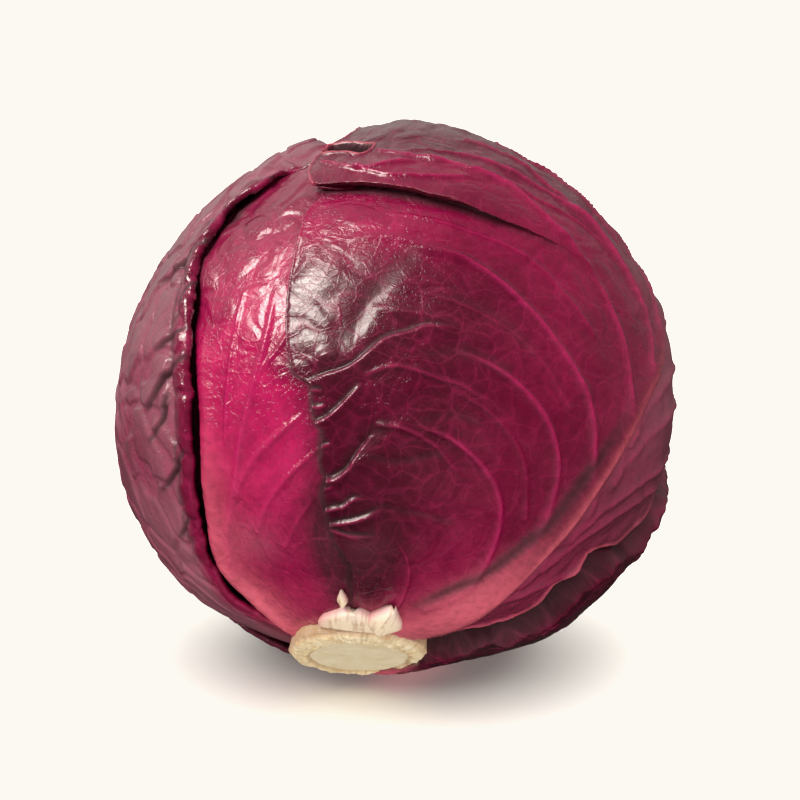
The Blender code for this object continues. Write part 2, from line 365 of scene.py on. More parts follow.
def leaf_arrays(leaf, relief):
    """A closed leaf: each row lies at one angle from the stem and is a loop over the outer side from
    the left margin to the right one and back along the inner side.

    The outer point is direction * (head radius - depth + height) + slide. The first and last rows
    shrink to a point each."""
    sizes = shape_settings()
    rows, columns = leaf.get("rows", sizes.rows), leaf.get("columns", sizes.columns)
    low, high = leaf["base"], leaf["tip"]
    theta = low + (high - low) * spaced(rows, leaf.get("row_marks", ((0, 0), (1, 1))))
    ends = np.sqrt(np.clip((theta - low) / leaf["base_round"], 0.0, 1.0))
    ends = ends * np.sqrt(np.clip((high - theta) / leaf["tip_round"], 0.0, 1.0))
    left, right = margins(leaf, theta)
    middle = (left + right) / 2.0
    scale = per_degree(theta)
    sides = []
    for side, outward, seed in ((left, -1.0, 11), (right, 1.0, 23)):
        place = np.stack([theta * 1.4, np.zeros(rows), np.full(rows, seed * 7.0)], axis=-1)
        rough = noise(place, 9.0, seed) + 0.6 * noise(place, 3.2, seed + 1)
        rough = rough + 0.35 * noise(place, 1.4, seed + 2)
        sides.append(middle + (side - middle + outward * leaf["ragged"] * rough / scale) * ends)
    left, right = sides
    u = spaced(columns, leaf.get("column_marks", ((0, 0), (1, 1))))
    azimuth = left[:, None] + (right - left)[:, None] * u
    directions = direction(np.repeat(theta[:, None], columns, axis=1), azimuth)
    from_left = (azimuth - left[:, None]) * scale[:, None]
    from_right = (right[:, None] - azimuth) * scale[:, None]

    made = relief(directions, from_left, from_right)
    radius = head_radius(directions) - leaf["depth"] + made["height"]
    # The margin is rounded over by dropping the outermost fraction of a millimetre.
    edge_round = leaf["edge_round"]
    across = np.clip(np.minimum(from_left, from_right) / edge_round, 0.0, 1.0)
    radius = radius - edge_round * (1.0 - np.sqrt(1.0 - (1.0 - across) ** 2))
    outer = directions * radius[..., None] + made["slide"]
    turn = head_turn()
    below = np.maximum(FLOOR_GAP - (outer @ turn.T + head_centre())[..., 2], 0.0)
    outer = outer + below[..., None] * turn[2]

    back = spaced(14, ((0, 1), (0.3, 0.96), (0.7, 0.04), (1, 0)))
    picks = np.round(np.interp(back, u, np.arange(columns))).astype(int)
    thin = np.minimum(np.abs(back), np.abs(1.0 - back))
    depth = leaf["blade"] + leaf["hollow"] * step(0.0, 0.05, thin)
    depth = depth[None, :] * np.clip(ends * 1.4, 0.05, 1.0)[:, None]
    inner = outer[:, picks] - directions[:, picks] * depth[..., None]
    loop = np.concatenate([outer, inner], axis=1)
    masks = {name: np.concatenate([field, field[:, picks]], axis=1)
             for name, field in made["masks"].items()}
    plane = np.stack(head_to_leaf(leaf, directions), axis=-1)
    plane = np.concatenate([plane, plane[:, picks]], axis=1)
    return loop, masks, plane


def closed_loops(loop):
    """Points and quads of stacked loops whose first and last loop is a single point."""
    rows, around = loop.shape[:2]
    body = loop[1:-1].reshape(-1, 3)
    points = np.vstack([loop[0].mean(axis=0), body, loop[-1].mean(axis=0)])
    index = 1 + np.arange((rows - 2) * around).reshape(rows - 2, around)
    onward = np.roll(index, -1, axis=1)
    quads = np.stack([index[:-1], onward[:-1], onward[1:], index[1:]], axis=-1).reshape(-1, 4)
    last = len(points) - 1
    first_fan = np.stack([np.zeros(around, int), onward[0], index[0]], axis=-1)
    last_fan = np.stack([np.full(around, last), index[-1], onward[-1]], axis=-1)
    return points, quads, np.vstack([first_fan, last_fan])


def make_piece(name, points, quads, triangles, material):
    """Puts the arrays into a smooth mesh object at the origin; points are upright-head millimetres."""
    placed = (points @ head_turn().T + head_centre()) * MM
    mesh = bpy.data.meshes.new(name)
    mesh.vertices.add(len(placed))
    mesh.vertices.foreach_set("co", placed.ravel())
    corners = np.concatenate([quads.ravel(), triangles.ravel()])
    starts = np.concatenate([np.arange(len(quads)) * 4, len(quads) * 4 + np.arange(len(triangles)) * 3])
    mesh.loops.add(len(corners))
    mesh.loops.foreach_set("vertex_index", corners.astype(np.int32))
    mesh.polygons.add(len(starts))
    mesh.polygons.foreach_set("loop_start", starts.astype(np.int32))
    mesh.update(calc_edges=True)
    mesh.polygons.foreach_set("use_smooth", np.ones(len(starts), bool))
    mesh.validate()
    mesh.materials.append(material)
    piece = bpy.data.objects.new(name, mesh)
    bpy.context.scene.collection.objects.link(piece)
    return piece


def ends_of(field):
    """A field per loop point, with the first and last loops averaged to one value each."""
    flat = field[1:-1].reshape(-1, *field.shape[2:])
    return np.concatenate([field[:1].mean(axis=1), flat, field[-1:].mean(axis=1)])


def loops_piece(name, loop, masks, material):
    """A closed piece from stacked loops, with each mask, cut off at 0 and 1, as an attribute."""
    piece = make_piece(name, *closed_loops(loop), material)
    for key, field in masks.items():
        values = np.clip(ends_of(field), 0.0, 1.0)
        layer = piece.data.attributes.new(key, "FLOAT", "POINT")
        layer.data.foreach_set("value", values.astype(np.float32).ravel())
    return piece


def make_leaf(name, leaf, relief, material):
    """A leaf's piece, with a map of its side and crown angles: 0 to 1 for -90 to 90 degrees."""
    loop, masks, plane = leaf_arrays(leaf, relief)
    piece = loops_piece(name, loop, masks, material)
    flat = ends_of(plane)
    corners = np.empty(len(piece.data.loops), np.int32)
    piece.data.loops.foreach_get("vertex_index", corners)
    leaf_map = piece.data.uv_layers.new(name="leaf")
    leaf_map.uv.foreach_set("vector", (flat[corners] / 180.0 + 0.5).astype(np.float32).ravel())
    return piece


# The leaves -----------------------------------------------------------------------------------------

def wrapper(azimuth, layer, **more):
    """What every wrapper leaf shares; layer 0 is outermost, each next one 2 mm deeper.

    Margins list (angle from stem, azimuth); azimuths run on past 180 instead of starting again."""
    leaf = {
        "from_stem": 84.0,
        "azimuth": azimuth,
        "base": 12.0,
        "tip": 172.0,
        "depth": 2.0 * layer,
        "blade": 0.9,
        "hollow": 1.6,
        "edge_round": 0.5,
        "base_round": 1.5,
        "tip_round": 30.0,
        "ragged": 1.0,
        "to_base": 69.0,
    }
    leaf.update(more)
    return leaf


RIGHT_LEAF = wrapper(
    azimuth=55.0, layer=2, ragged=0.4, tip=180.0, tip_round=0.001,
    left_margin=((12, -8), (22.5, -9), (29.5, -9.5), (33, -12), (37, -15), (40.5, -16),
                 (43, -17), (45.5, -17.5), (49, -16), (50.5, -17), (53, -17.5), (57.5, -17),
                 (59.5, -18.5), (61, -19), (63.5, -19.5), (65.5, -19.5), (66.5, -20), (68, -23),
                 (70.5, -24.5), (74, -25.5), (77.5, -26), (82, -26.5), (93, -26.5), (99.5, -26.5),
                 (103.5, -26), (107.5, -24.5), (110, -25.5), (112, -28), (115.5, -29.5),
                 (121, -30), (127.5, -29.5), (132.5, -28.5), (138.5, -28), (148, -36), (160, -72),
                 (170, -118), (180, -125)),
    right_margin=((12, 76), (20, 72), (30, 76), (38, 73.5), (45, 69), (53, 69), (60, 78), (66, 81),
                  (76, 86), (84, 92), (95, 100), (110, 112), (130, 130), (150, 160), (165, 205),
                  (180, 235)),
    row_marks=((0, 0), (0.05, 0.08), (0.55, 0.46), (0.85, 0.70), (1, 1)),
    column_marks=((0, 0), (0.28, 0.13), (0.80, 0.66), (1, 1)))

FRONT_LEAF = wrapper(
    azimuth=-45.0, layer=3, ragged=0.6, tip=178.0, tip_round=6.0,
    left_margin=((12, -112), (30, -114), (60, -120), (84, -122), (120, -135), (150, -170), (168, -215),
                 (178, -225)),
    right_margin=((12, 14), (30, 16), (60, 28), (84, 30), (120, 38), (150, 60), (168, 120), (178, 130)),
    column_marks=((0, 0), (0.14, 0.30), (0.9, 0.72), (1, 1)),
    row_marks=((0, 0), (0.80, 0.72), (1, 1)))

LEFT_LEAF = wrapper(
    azimuth=-119.0, layer=1, ragged=0.7, blade=1.1, tip_round=12.0,
    left_margin=((12, -150), (25, -172), (40, -184), (60, -190), (84, -196), (120, -202), (150, -212),
                 (165, -225), (172, -170)),
    right_margin=((12, -88), (14, -84.5), (18.5, -80.5), (23.5, -77), (29.5, -73), (34.5, -69),
                  (43, -59.5), (52, -53.5), (60.5, -49.5), (67.5, -48.5), (75, -48), (84, -48.5),
                  (88.5, -49), (92.5, -50), (96, -50), (99, -49.5), (102, -48.5), (105, -48.5),
                  (108.5, -48), (112, -45.5), (115, -42), (119, -41), (122, -38),
                  (124.5, -31), (130, -29), (145, -54), (160, -95), (172, -140)),
    column_marks=((0, 0), (0.3, 0.5), (1, 1)))

BACK_LEAF = wrapper(
    azimuth=150.0, layer=0, ragged=0.9, blade=1.2,
    left_margin=((12, 62), (20, 60), (30, 60), (45, 56), (60, 62), (80, 72), (100, 86), (130, 108),
                 (150, 122), (172, 150)),
    right_margin=((12, 190), (25, 212), (40, 225), (60, 230), (84, 232), (120, 225), (150, 200),
                  (172, 150)),
    column_marks=((0, 0), (0.42, 0.24), (1, 1)))

# Azimuths where a leaf's own count of degrees starts again
RIGHT_LEAF_SEAM = -125.0
LEFT_LEAF_SEAM = 60.0

# The fold near the top of the right leaf, from its left corner to where it dies out; sizes in millimetres
FOLD_LIFT = 2.9
FOLD_LIFT_LOST = 1.4
FOLD_SWING = 1.9
FOLD_CURL = 2.2
FOLD = ((111, -30), (109.5, -24.5), (109.5, -18), (109, -12.5), (108, -5.5), (107, -1), (106.5, 4.5),
        (105.5, 10), (105, 16), (104.5, 21), (104, 27.5), (102.5, 34), (99, 40), (92, 48))

# The hole beside the fold: the line along its middle, and sizes in millimetres
HOLE = ((124, -28), (124, -23), (123, -18.5))
HOLE_HALF_HEIGHT = 3.3
HOLE_ROUND_END = 1.4
HOLE_DEPTH = 4.2
HOLE_RIM = 0.7

# Soft patches: middle as (angle from stem, azimuth) and reach both ways
SMOOTH_PATCH = ((85, -17), (15, 13))
UNDER_FOLD = ((99, -4), (7, 24))
ABOVE_FOLD = ((114, -6), (6, 30))
CROWN_KNOLL = ((141, -14), (9, 17))
RIGHT_GREY = ((33, -4), (9, 12))
FRONT_GREY = ((34, -17), (12, 9))
FRONT_WAX = ((36, -45), (5, 10))

# The right leaf's side veins, each from the midrib outwards: points and width
RIGHT_VEINS = (
    (((24, 25), (34, 34), (47, 30), (55, 22), (60, 10), (61, -2)), 1.7),
    (((34, 40), (50, 41), (61, 37), (70, 27), (75, 14), (76, 0)), 1.9),
    (((45, 50), (62, 46), (73, 40), (81, 30), (88, 19), (94, 6), (97, -9)), 2.1),
    (((60, 50), (75, 50), (84, 48), (96, 40), (104, 31)), 2.2),
    (((72, 54), (91, 54), (101, 52), (110, 44), (118, 33), (122, 16), (123, -1), (121, -16)), 2.0),
    (((88, 56), (102, 59), (120, 58), (130, 49), (138, 34), (142, 10)), 1.8),
    (((18, 12), (26, 14), (34, 10), (40, 2)), 1.0),
    (((68.5, -9), (70.5, -5), (71, -1.5), (70, 6), (69.5, 11.5), (66, 20)), 1.0),
    (((60, -5.5), (60, 0.5), (58, 7.5), (55, 12.5), (52.5, 18)), 1.0),
    (((50, 36), (60, 28), (66, 18), (69, 6)), 0.9),
    (((72, 34), (80, 22), (84, 10), (86, -6)), 0.9),
    (((88, 36), (98, 20), (101, 4), (103, -14)), 1.0),
    (((110, 46), (114, 30), (116, 14), (116, -6)), 1.0),
)

# The right leaf's midrib, and its half width and left slope in millimetres at shares of its length
RIGHT_MIDRIB = ((11, 34), (18, 44), (26.5, 44), (35, 45.5), (44, 45.5), (55, 47), (64, 48), (73, 50),
                (82.5, 53), (92, 57), (104, 62), (120, 74), (140, 96))
RIB_SHARES = (0.0, 0.17, 0.27, 0.38, 0.55, 1.0)
RIB_HALVES = (9.0, 8.0, 4.8, 3.4, 2.8, 1.2)
RIB_SLOPES = (13.0, 11.5, 8.5, 4.8, 3.6, 1.5)
RIB_HEIGHT = 4.6
RIB_STEP_DOWN = 1.3

# Pleats along the right leaf's left margin: points, lip height and width
PLEATS = (
    (((67.5, -19), (68.5, -16.5), (69.5, -13.5), (71, -11), (73.5, -8.5), (76, -6), (77.5, -2.5),
      (79.5, 1.5), (80, 7)), 1.7, 3.0),
    (((59.5, -19), (60.5, -16.5), (62, -14.5), (64.5, -12), (67.5, -9.5)), 1.2, 2.4),
    (((49, -17), (49.5, -14), (51.5, -11), (54.5, -9), (59, -5.5)), 1.5, 3.2),
    (((43, -18), (43.5, -14.5), (44, -12), (45.5, -9.5), (46, -6.5)), 0.9, 1.8),
    (((40, -17), (41, -10.5), (42.5, -5.5), (44.5, -1.5)), 1.0, 1.9),
    (((39.5, -16), (38.5, -12.5), (38, -9), (38.5, -2)), 0.6, 1.7),
    (((65.5, -20), (65.5, -18.5), (65.5, -17)), 0.5, 0.9),
    (((62.5, -20), (62.5, -18), (63, -16.5)), 0.5, 0.9),
    (((55, -18), (55.5, -16.5), (56, -15)), 0.5, 0.9),
    (((47.5, -17.5), (47.5, -16), (48, -14.5)), 0.5, 0.9),
)

# Valleys and knolls of the right leaf: points, height and width
RIGHT_KNOLLS = (
    (((93, -3), (87, -8), (82, -10.5), (78.5, -12), (75.5, -14), (72.5, -15)), -0.9, 3.2),
    (((69.5, -19.5), (71.5, -17.5), (72, -14.5)), 0.9, 1.5),
    (((81.5, -10), (81, -3), (81, 1.5), (80, 6), (77, 11)), 0.8, 1.4),
    (((95.5, -16), (96.5, -7), (94.5, -0.5), (93.5, 8), (88, 20)), 0.9, 1.4),
    (((103, -22), (99, -12), (100, 0)), 0.5, 2.6),
    (((53, -10.5), (56, -7.5), (60, -4)), -0.9, 2.4),
    (((54, -6), (53.5, -2), (54, 1.5), (55.5, 5.5), (56.5, 9)), -0.6, 1.3),
    (((45, -1.5), (44.5, 4.5), (44.5, 9), (44.5, 16.5)), -0.6, 1.3),
    (((62, 4), (64, 9), (64, 15)), -0.4, 1.6),
    (((74, 2), (76, 10), (75, 18)), -0.5, 2.0),
    (((86, 6), (84, 14), (80, 22)), -0.5, 2.2),
)

# Veins above the fold: points and width
CROWN_VEINS = (
    (((121, -15.5), (119.5, -8.5), (118, -1), (117.5, 4), (116, 9), (115.5, 14.5), (112.5, 19.5),
      (109, 24), (106, 29), (101.5, 35.5), (95.5, 43)), 1.3),
    (((131, 5), (131, 14), (127.5, 23), (120.5, 31), (112, 42), (100, 54)), 1.3),
    (((117, -27), (113.5, -18), (115.5, -10), (118, -3)), 0.8),
    (((113.5, -18), (111, -10), (112, 0), (114, 8)), 0.7),
    (((146, 20), (138, 34), (126, 46), (112, 55)), 1.4),
)

# Cracks and small folds along the left leaf's right margin
LEFT_CRACKS = (
    (((102, -46), (99, -52), (96, -60), (95, -66)), 1.5, 3.4),
    (((91, -48), (88, -51), (84, -52), (81, -54)), 1.6, 3.0),
    (((80, -49), (79, -54), (78, -59)), 1.2, 2.8),
    (((74, -49), (72, -55), (69, -60), (67, -66)), 1.4, 3.2),
    (((68, -56), (64, -59), (61, -67)), 1.1, 2.6),
    (((57, -53), (54, -60), (52, -70)), 1.2, 2.8),
    (((46, -61), (44, -66), (43, -72)), 0.9, 2.2),
    (((113, -37), (112, -43), (108, -50)), 1.2, 3.0),
    (((122, -33), (119, -40), (114, -48)), 1.2, 3.0),
)

# The front leaf's thick edge beside the left leaf
FRONT_EDGE = ((11, -88), (14.5, -83), (19.5, -77.5), (25, -74), (29.5, -71.5), (35, -67.5), (44, -57.5),
              (53, -51.5), (60, -49), (66, -48.5), (73.5, -48.5), (80, -49.5), (85.5, -49.5), (89.5, -49.5),
              (96, -50), (100, -50), (103, -49), (106, -46.5), (110, -46), (116, -44.5), (124, -46),
              (137, -47))

# The front leaf's veins: points and width
FRONT_VEINS = (
    (((30, -66), (40, -52), (48, -43), (56, -38), (67, -33), (78, -30), (90, -30)), 1.7),
    (((45, -46), (52, -36), (57, -28), (62, -20)), 1.3),
    (((38, -42), (44, -34), (50, -25), (56, -16)), 1.2),
    (((56, -42), (66, -40), (78, -38), (92, -36)), 1.0),
    (((34, -34), (40, -26), (46, -19)), 0.9),
    (((68, -33), (74, -27), (82, -23)), 0.9),
)

# How far the back leaf goes down under the right leaf
BACK_LEAF_TUCK = 6.3


def side_veins(directions, leaf, count, seed):
    """Side veins of a leaf that isn't seen closely: curves that leave the midrib and bend to the margin,
    in leaf angles x = reach * s^1.7 and y = start + rise * s."""
    total = np.zeros(directions.shape[:-1])
    s = np.linspace(0.0, 1.0, 50)
    for number in range(count):
        for side in (-1.0, 1.0):
            shift = (scramble(number, int(side), 3, seed) & 1023) / 1023.0
            start = -leaf["to_base"] + 10.0 + (number + 0.6 * shift) * 112.0 / count
            x = side * (66.0 - 3.0 * number) * s**1.7
            y = start + (62.0 - 5.0 * number) * s
            line = leaf_to_head(leaf, x, y)
            across, past, share = beside(directions, line)
            width = 1.9 * (1.0 - 0.65 * share)
            total = np.maximum(total, bell(np.hypot(across, past), width) * fall(0.7, 1.0, share))
    return total


def net(directions, along, around, seed):
    """A net of small veins that runs towards the stem: cells in the two head angles, warped by noise.

    Returns how near each point is to a cell border (1 on it) and how puffed it is inside (0 on it)."""
    from_stem, azimuth = head_angles(directions)
    warp = noise(directions, 0.16, seed) * 0.55
    other = noise(directions, 0.13, seed + 5) * 0.55
    _, border = cells(azimuth / around + warp, from_stem / along + other, seed)
    return bell(border, 0.10), step(0.0, 0.55, border)


def wrinkles(directions, size, seed):
    """Crinkled leaf skin: sharp valleys from the absolute value of noise, at two sizes."""
    coarse = np.abs(noise(directions, size / HEAD_RADIUS, seed))
    fine = np.abs(noise(directions, size * 0.45 / HEAD_RADIUS, seed + 1))
    return coarse + 0.5 * fine


def facets(directions, size, seed):
    """Broad smooth faces that meet in sharp valleys: the absolute value of warped noise."""
    warp = np.stack([noise(directions, 0.25, seed + shift) for shift in (1, 2, 3)], axis=-1)
    return np.abs(noise(directions + 0.08 * warp, size / HEAD_RADIUS, seed))


def rolling(directions, seed):
    """Broad unevenness of a leaf in millimetres."""
    return 0.9 * noise(directions, 0.42, seed) + 0.45 * noise(directions, 0.19, seed + 1)


def midrib(directions, from_stem):
    """The right leaf's midrib: exp(-|across / width|^2.6), with a slow rise on its left and a steep drop
    on its right, after which the leaf lies lower.

    Returns the fields that the leaf's relief and masks take from it."""
    across, _, share = beside(directions, curve(RIGHT_MIDRIB))
    half = np.interp(share, RIB_SHARES, RIB_HALVES)
    slope = np.interp(share, RIB_SHARES, RIB_SLOPES)
    rib = np.exp(-np.abs(across / np.where(across > 0.0, half, slope)) ** 2.6)
    rise = (RIB_HEIGHT * (1.0 - share) ** 0.8 + 0.3) * (0.35 + 0.65 * step(12.0, 30.0, from_stem))
    past_top = step(0.0, half * 1.3, across)
    crest = bell((across - 0.35 * half) / half, 0.75) * (1.0 - 0.5 * step(0.35, 0.7, share))
    # Painted shade along the midrib's two feet.
    left_foot_shade = bell(across + 1.05 * slope, 1.3) * step(0.10, 0.2, share) * fall(0.5, 0.7, share)
    right_foot_shade = bell(across - 1.25 * half, 0.9) * fall(0.4, 0.6, share)
    return {
        "rib": rib,
        "height": rise * rib - RIB_STEP_DOWN * past_top * fall(0.3, 0.6, share),
        "past_top": past_top,
        "past_foot": step(half * 0.8, half * 2.0, across),
        "pale": np.maximum(crest, rib * fall(0.20, 0.46, share)),
        "red": 0.22 * rib * fall(0.2, 0.45, share),
        "painted_shade": np.maximum(0.75 * left_foot_shade, 0.5 * right_foot_shade),
    }


def fold(directions, from_stem, azimuth, from_left):
    """The fold of the right leaf: what lies above its line is lifted and swung down over the line, as the
    sine of the distance above it, so that it hangs over the leaf below. To the right it flattens out.

    Returns the height, the slide along the head, the painted shadow under it and its rim with a painted
    highlight."""
    below, _, share = beside(directions, curve(FOLD))
    above = -below
    flat = step(0.35, 0.9, share)
    lift = FOLD_LIFT - FOLD_LIFT_LOST * step(112.0, 136.0, from_stem)
    lift = lift * (1.0 - 0.9 * step(8.0, 42.0, azimuth) * step(104.0, 128.0, from_stem))
    lift = lift * (1.0 - 0.75 * flat)
    towards_crown = np.array([0.0, 0.0, 1.0]) - directions * directions[..., 2:3]
    towards_crown /= np.linalg.norm(towards_crown, axis=-1)[..., None] + 1e-9
    swing = FOLD_SWING * fall(0.5, 0.95, share) * np.sin(np.pi * np.clip(above / FOLD_CURL, -1.0, 1.0))
    # Painted shadow under the overhang.
    shade = 0.9 * bell(above + 1.3, 1.0) * fall(0.45, 0.9, share)
    # The rim is painted pale as a highlight line along the fold's edge and the flap's left margin.
    rim = np.maximum(bell(above - 0.5, 0.4) * fall(0.4, 0.8, share),
                     bell(from_left, 0.6) * step(108.0, 111.0, from_stem))
    height = lift * step(-0.5, 0.5, above / (1.0 + 10.0 * flat)) + 0.35 * rim
    return height, -swing[..., None] * towards_crown, shade, rim


def hole(directions):
    """The hole beside the fold: a long ellipse round a short line, 1 on its edge, with a raised rim.

    Returns the height, the painted shade inside it and the pale line of its rim, a painted highlight."""
    across, past, _ = beside(directions, curve(HOLE))
    out = np.hypot(across / HOLE_HALF_HEIGHT, past / HOLE_ROUND_END)
    height = HOLE_RIM * bell(out - 1.25, 0.22) - HOLE_DEPTH * fall(0.75, 1.05, out)
    # The inside is painted with shade and the rim with a pale highlight line.
    return height, fall(0.98, 1.10, out), 1.8 * bell(out - 1.24, 0.10)


def right_leaf_bumps(directions):
    """The right leaf's valleys, knolls and pleats. Returns the height, painted shade and painted lip
    highlights.
    """
    height, painted_shade, lip_highlights = np.zeros((3, *directions.shape[:-1]))
    for points, rise, width in RIGHT_KNOLLS:
        side, beyond, along = beside(directions, curve(points))
        away = np.hypot(side, beyond)
        height = height + rise * bell(away, width) * np.sin(np.pi * along) ** 0.5
        # Painted shade in the valleys.
        painted_shade = np.maximum(painted_shade, -0.35 * rise * bell(away, width * 0.8))
    for points, lip, width in PLEATS:
        raised, slit, bright = crease(directions, points, lip, width)
        height = height + raised
        # Painted shade in each pleat's slit and a painted highlight on its lip.
        painted_shade = np.maximum(painted_shade, 0.9 * slit)
        lip_highlights = np.maximum(lip_highlights, bright)
    return height, painted_shade, lip_highlights


def right_leaf_relief(directions, from_left, from_right):
    """The right leaf: midrib, side veins, pleats on the left margin, the overhanging fold and the hole."""
    strength = shape_settings().wrinkle
    from_stem, azimuth = head_angles(directions)
    azimuth = np.where(azimuth < RIGHT_LEAF_SEAM, azimuth + 360.0, azimuth)
    rib = midrib(directions, from_stem)
    blade = 1.0 - rib["rib"]
    smooth = patch(from_stem, azimuth, SMOOTH_PATCH)
    crown = step(108.0, 120.0, from_stem)

    # Side veins and the net between them
    veins = np.zeros(directions.shape[:-1])
    for points, width in RIGHT_VEINS:
        veins = np.maximum(veins, ridge(directions, points, width * 0.75) * min(1.0, width / 1.4))
    veins = np.maximum(veins, 0.8 * side_veins(directions, RIGHT_LEAF, 9, 31) * rib["past_foot"])
    border, puffed = net(directions, 8.0, 10.0, 51)
    height = 0.95 * veins + 0.2 * border * (1.0 - veins) * (1.0 - 0.8 * smooth)
    height = height + 0.35 * (puffed - 0.5) * (1.0 - 0.85 * smooth) + rolling(directions, 61)
    height = rib["height"] + height * blade

    # Pleats and fine wrinkles
    bumps, painted_shade, lip_highlights = right_leaf_bumps(directions)
    crumple = bell(from_left, 15.0) * fall(98.0, 104.0, from_stem) * step(26.0, 36.0, from_stem)
    fine = (0.08 + 0.14 * crumple) * (1.0 - 0.9 * smooth)
    height = height + bumps + strength * fine * (wrinkles(directions, 7.0, 71) - 0.3) * blade
    faces = 0.25 * (facets(directions, 17.0, 73) - 0.25) + 0.12 * (puffed - 0.5)
    height = height + strength * smooth * faces

    # Both margins
    left_lip = bell(from_left, 0.8) * step(30.0, 40.0, from_stem)
    # Painted shadow line along the left margin.
    left_margin_shade = bell(from_left, 0.7) * step(26.0, 32.0, from_stem) * fall(68.0, 74.0, from_stem)
    right_lip = bell(from_right - 1.2, 0.9) * step(16.0, 26.0, from_stem) * fall(70.0, 84.0, from_stem)
    height = height + 0.45 * left_lip + 0.5 * right_lip
    height = height + 1.2 * bell(from_right, 10.0) * (facets(directions, 13.0, 83) - 0.25)

    # Fold, crown and hole
    folded, slide, shade, rim = fold(directions, from_stem, azimuth, from_left)
    height = height + folded + crown * (0.9 * strength * (wrinkles(directions, 15.0, 81) - 0.3) - 1.0)
    height = height + 0.9 * patch(from_stem, azimuth, CROWN_KNOLL)
    for points, width in CROWN_VEINS:
        line = ridge(directions, points, width, taper=0.3)
        height = height + line
        veins = np.maximum(veins, 0.9 * line)
    sunk, hollow, hole_rim_highlight = hole(directions)
    height = height + sunk
    rim = np.maximum(rim, hole_rim_highlight)
    # Painted shade under the fold, inside the hole, along the left margin and along the midrib's feet.
    for field in (shade, hollow, 0.75 * left_margin_shade, rib["painted_shade"]):
        painted_shade = np.maximum(painted_shade, field)

    # Tones
    base = fall(14.0, 24.0, from_stem)
    grey = patch(from_stem, azimuth, RIGHT_GREY)
    # The fold's and the hole's rims are painted pale as highlight lines.
    pale = np.maximum(np.maximum(rib["pale"] + 0.4 * base, 0.5 * rim), 0.7 * right_lip)
    red = 0.05 + 0.3 * base + rib["red"] - 0.3 * grey
    red = red + 0.52 * patch(from_stem, azimuth, UNDER_FOLD) + 0.33 * patch(from_stem, azimuth, ABOVE_FOLD)
    red = red + 0.38 * bell(from_left, 16.0) * step(84.0, 98.0, from_stem) * fall(106.0, 110.0, from_stem)
    red = red + 0.34 * fall(24.0, 62.0, from_stem) * step(-4.0, 14.0, azimuth) * blade
    red = red + 0.24 * step(4.0, 30.0, azimuth) * (1.0 - 0.7 * crown) * blade
    bloom = (0.16 + 0.3 * step(45.0, 85.0, from_stem)) * rib["past_top"] + 0.04 * crown + 0.14 * grey
    bloom = bloom + 0.1 * step(24.0, 50.0, azimuth) * blade
    bloom = bloom + 0.2 * step(40.0, 64.0, azimuth) * step(70.0, 100.0, from_stem)
    # The pleats' lips are painted with highlights in the vein colour.
    vein = (veins**2.2 + (0.12 + 0.15 * smooth) * border) * blade + 0.2 * left_lip + 0.8 * lip_highlights
    masks = {"vein": vein, "pale": pale, "red": red, "painted_shade": painted_shade, "bloom": bloom, "matte": smooth}
    return {"height": height, "slide": slide, "masks": masks}


def front_leaf_relief(directions, from_left, from_right):
    """The front leaf: bright blade, thick pale left edge, fanned veins and a drop under the left leaf."""
    strength = shape_settings().wrinkle
    from_stem, azimuth = head_angles(directions)
    from_edge, _, share = beside(directions, curve(FRONT_EDGE))
    top = step(74.0, 92.0, from_stem)
    crown = step(120.0, 140.0, from_stem)
    veins = np.zeros(directions.shape[:-1])
    for points, width in FRONT_VEINS:
        veins = np.maximum(veins, ridge(directions, points, width) * min(1.0, width / 1.5))
    border, puffed = net(directions, 9.0, 8.0, 52)
    height = 0.8 + 0.8 * veins + 0.18 * border + (0.25 + 0.3 * top) * (puffed - 0.5)
    height = height + rolling(directions, 62) + strength * 0.15 * (wrinkles(directions, 8.0, 72) - 0.3)
    height = height + strength * (0.2 + 0.6 * top) * (facets(directions, 17.0, 92) - 0.25)

    # The thick edge beside the left leaf, and the gap past it
    shoulder = bell(from_edge - 2.4, 3.4) * fall(0.25, 0.6, share)
    gap = fall(-3.0, 0.4, from_edge)
    high = step(82.0, 96.0, from_stem)
    height = height + 1.7 * shoulder - (3.4 * step(16.0, 40.0, from_stem) + 1.6) * gap * (1.0 - high)
    height = height + 1.5 * high * fall(100.0, 108.0, from_stem) * bell(from_edge, 16.0)
    height = height + 2.4 * fall(13.0, 27.0, from_stem)

    # Where it goes under the right leaf
    under = (azimuth - margin(RIGHT_LEAF["left_margin"], from_stem)) * per_degree(from_stem)
    height = height - 2.2 * np.maximum(step(1.0, 8.0, under), crown) - 1.2 * crown
    # Painted shadow line under the right leaf's margin, and painted shade as a darker purple beside it.
    under_margin_shade = bell(under + 0.6, 0.9) * fall(68.0, 74.0, from_stem)
    shade_near_margin = bell(under + 1.0, 5.0) * fall(72.0, 84.0, from_stem)

    # Tones
    grey = patch(from_stem, azimuth, FRONT_GREY)
    left_side = bell(from_edge - 3.0, 9.0) * fall(0.12, 0.42, share)
    red = 0.95 - 0.75 * grey - 0.50 * step(88.0, 106.0, from_stem) - 0.30 * fall(26.0, 50.0, from_stem)
    # Painted shade in the gap under the left leaf and beside its edge higher up.
    gap_shade = np.maximum(0.85 * gap, 0.8 * high * fall(-1.0, 2.4, from_edge))
    masks = {
        "vein": 0.8 * veins**1.6 + (0.2 + 0.3 * top) * border,
        "pale": 0.8 * left_side + 0.2 * shoulder + 0.1 * fall(14.0, 31.0, from_stem),
        "red": red - 0.45 * shade_near_margin,
        "painted_shade": np.maximum(gap_shade, 0.6 * under_margin_shade),
        "bloom": 0.35 * patch(from_stem, azimuth, FRONT_WAX) + 0.15 * grey + 0.08 * top,
        "matte": 0.6 * top,
    }
    return {"height": height, "slide": np.zeros_like(directions), "masks": masks}


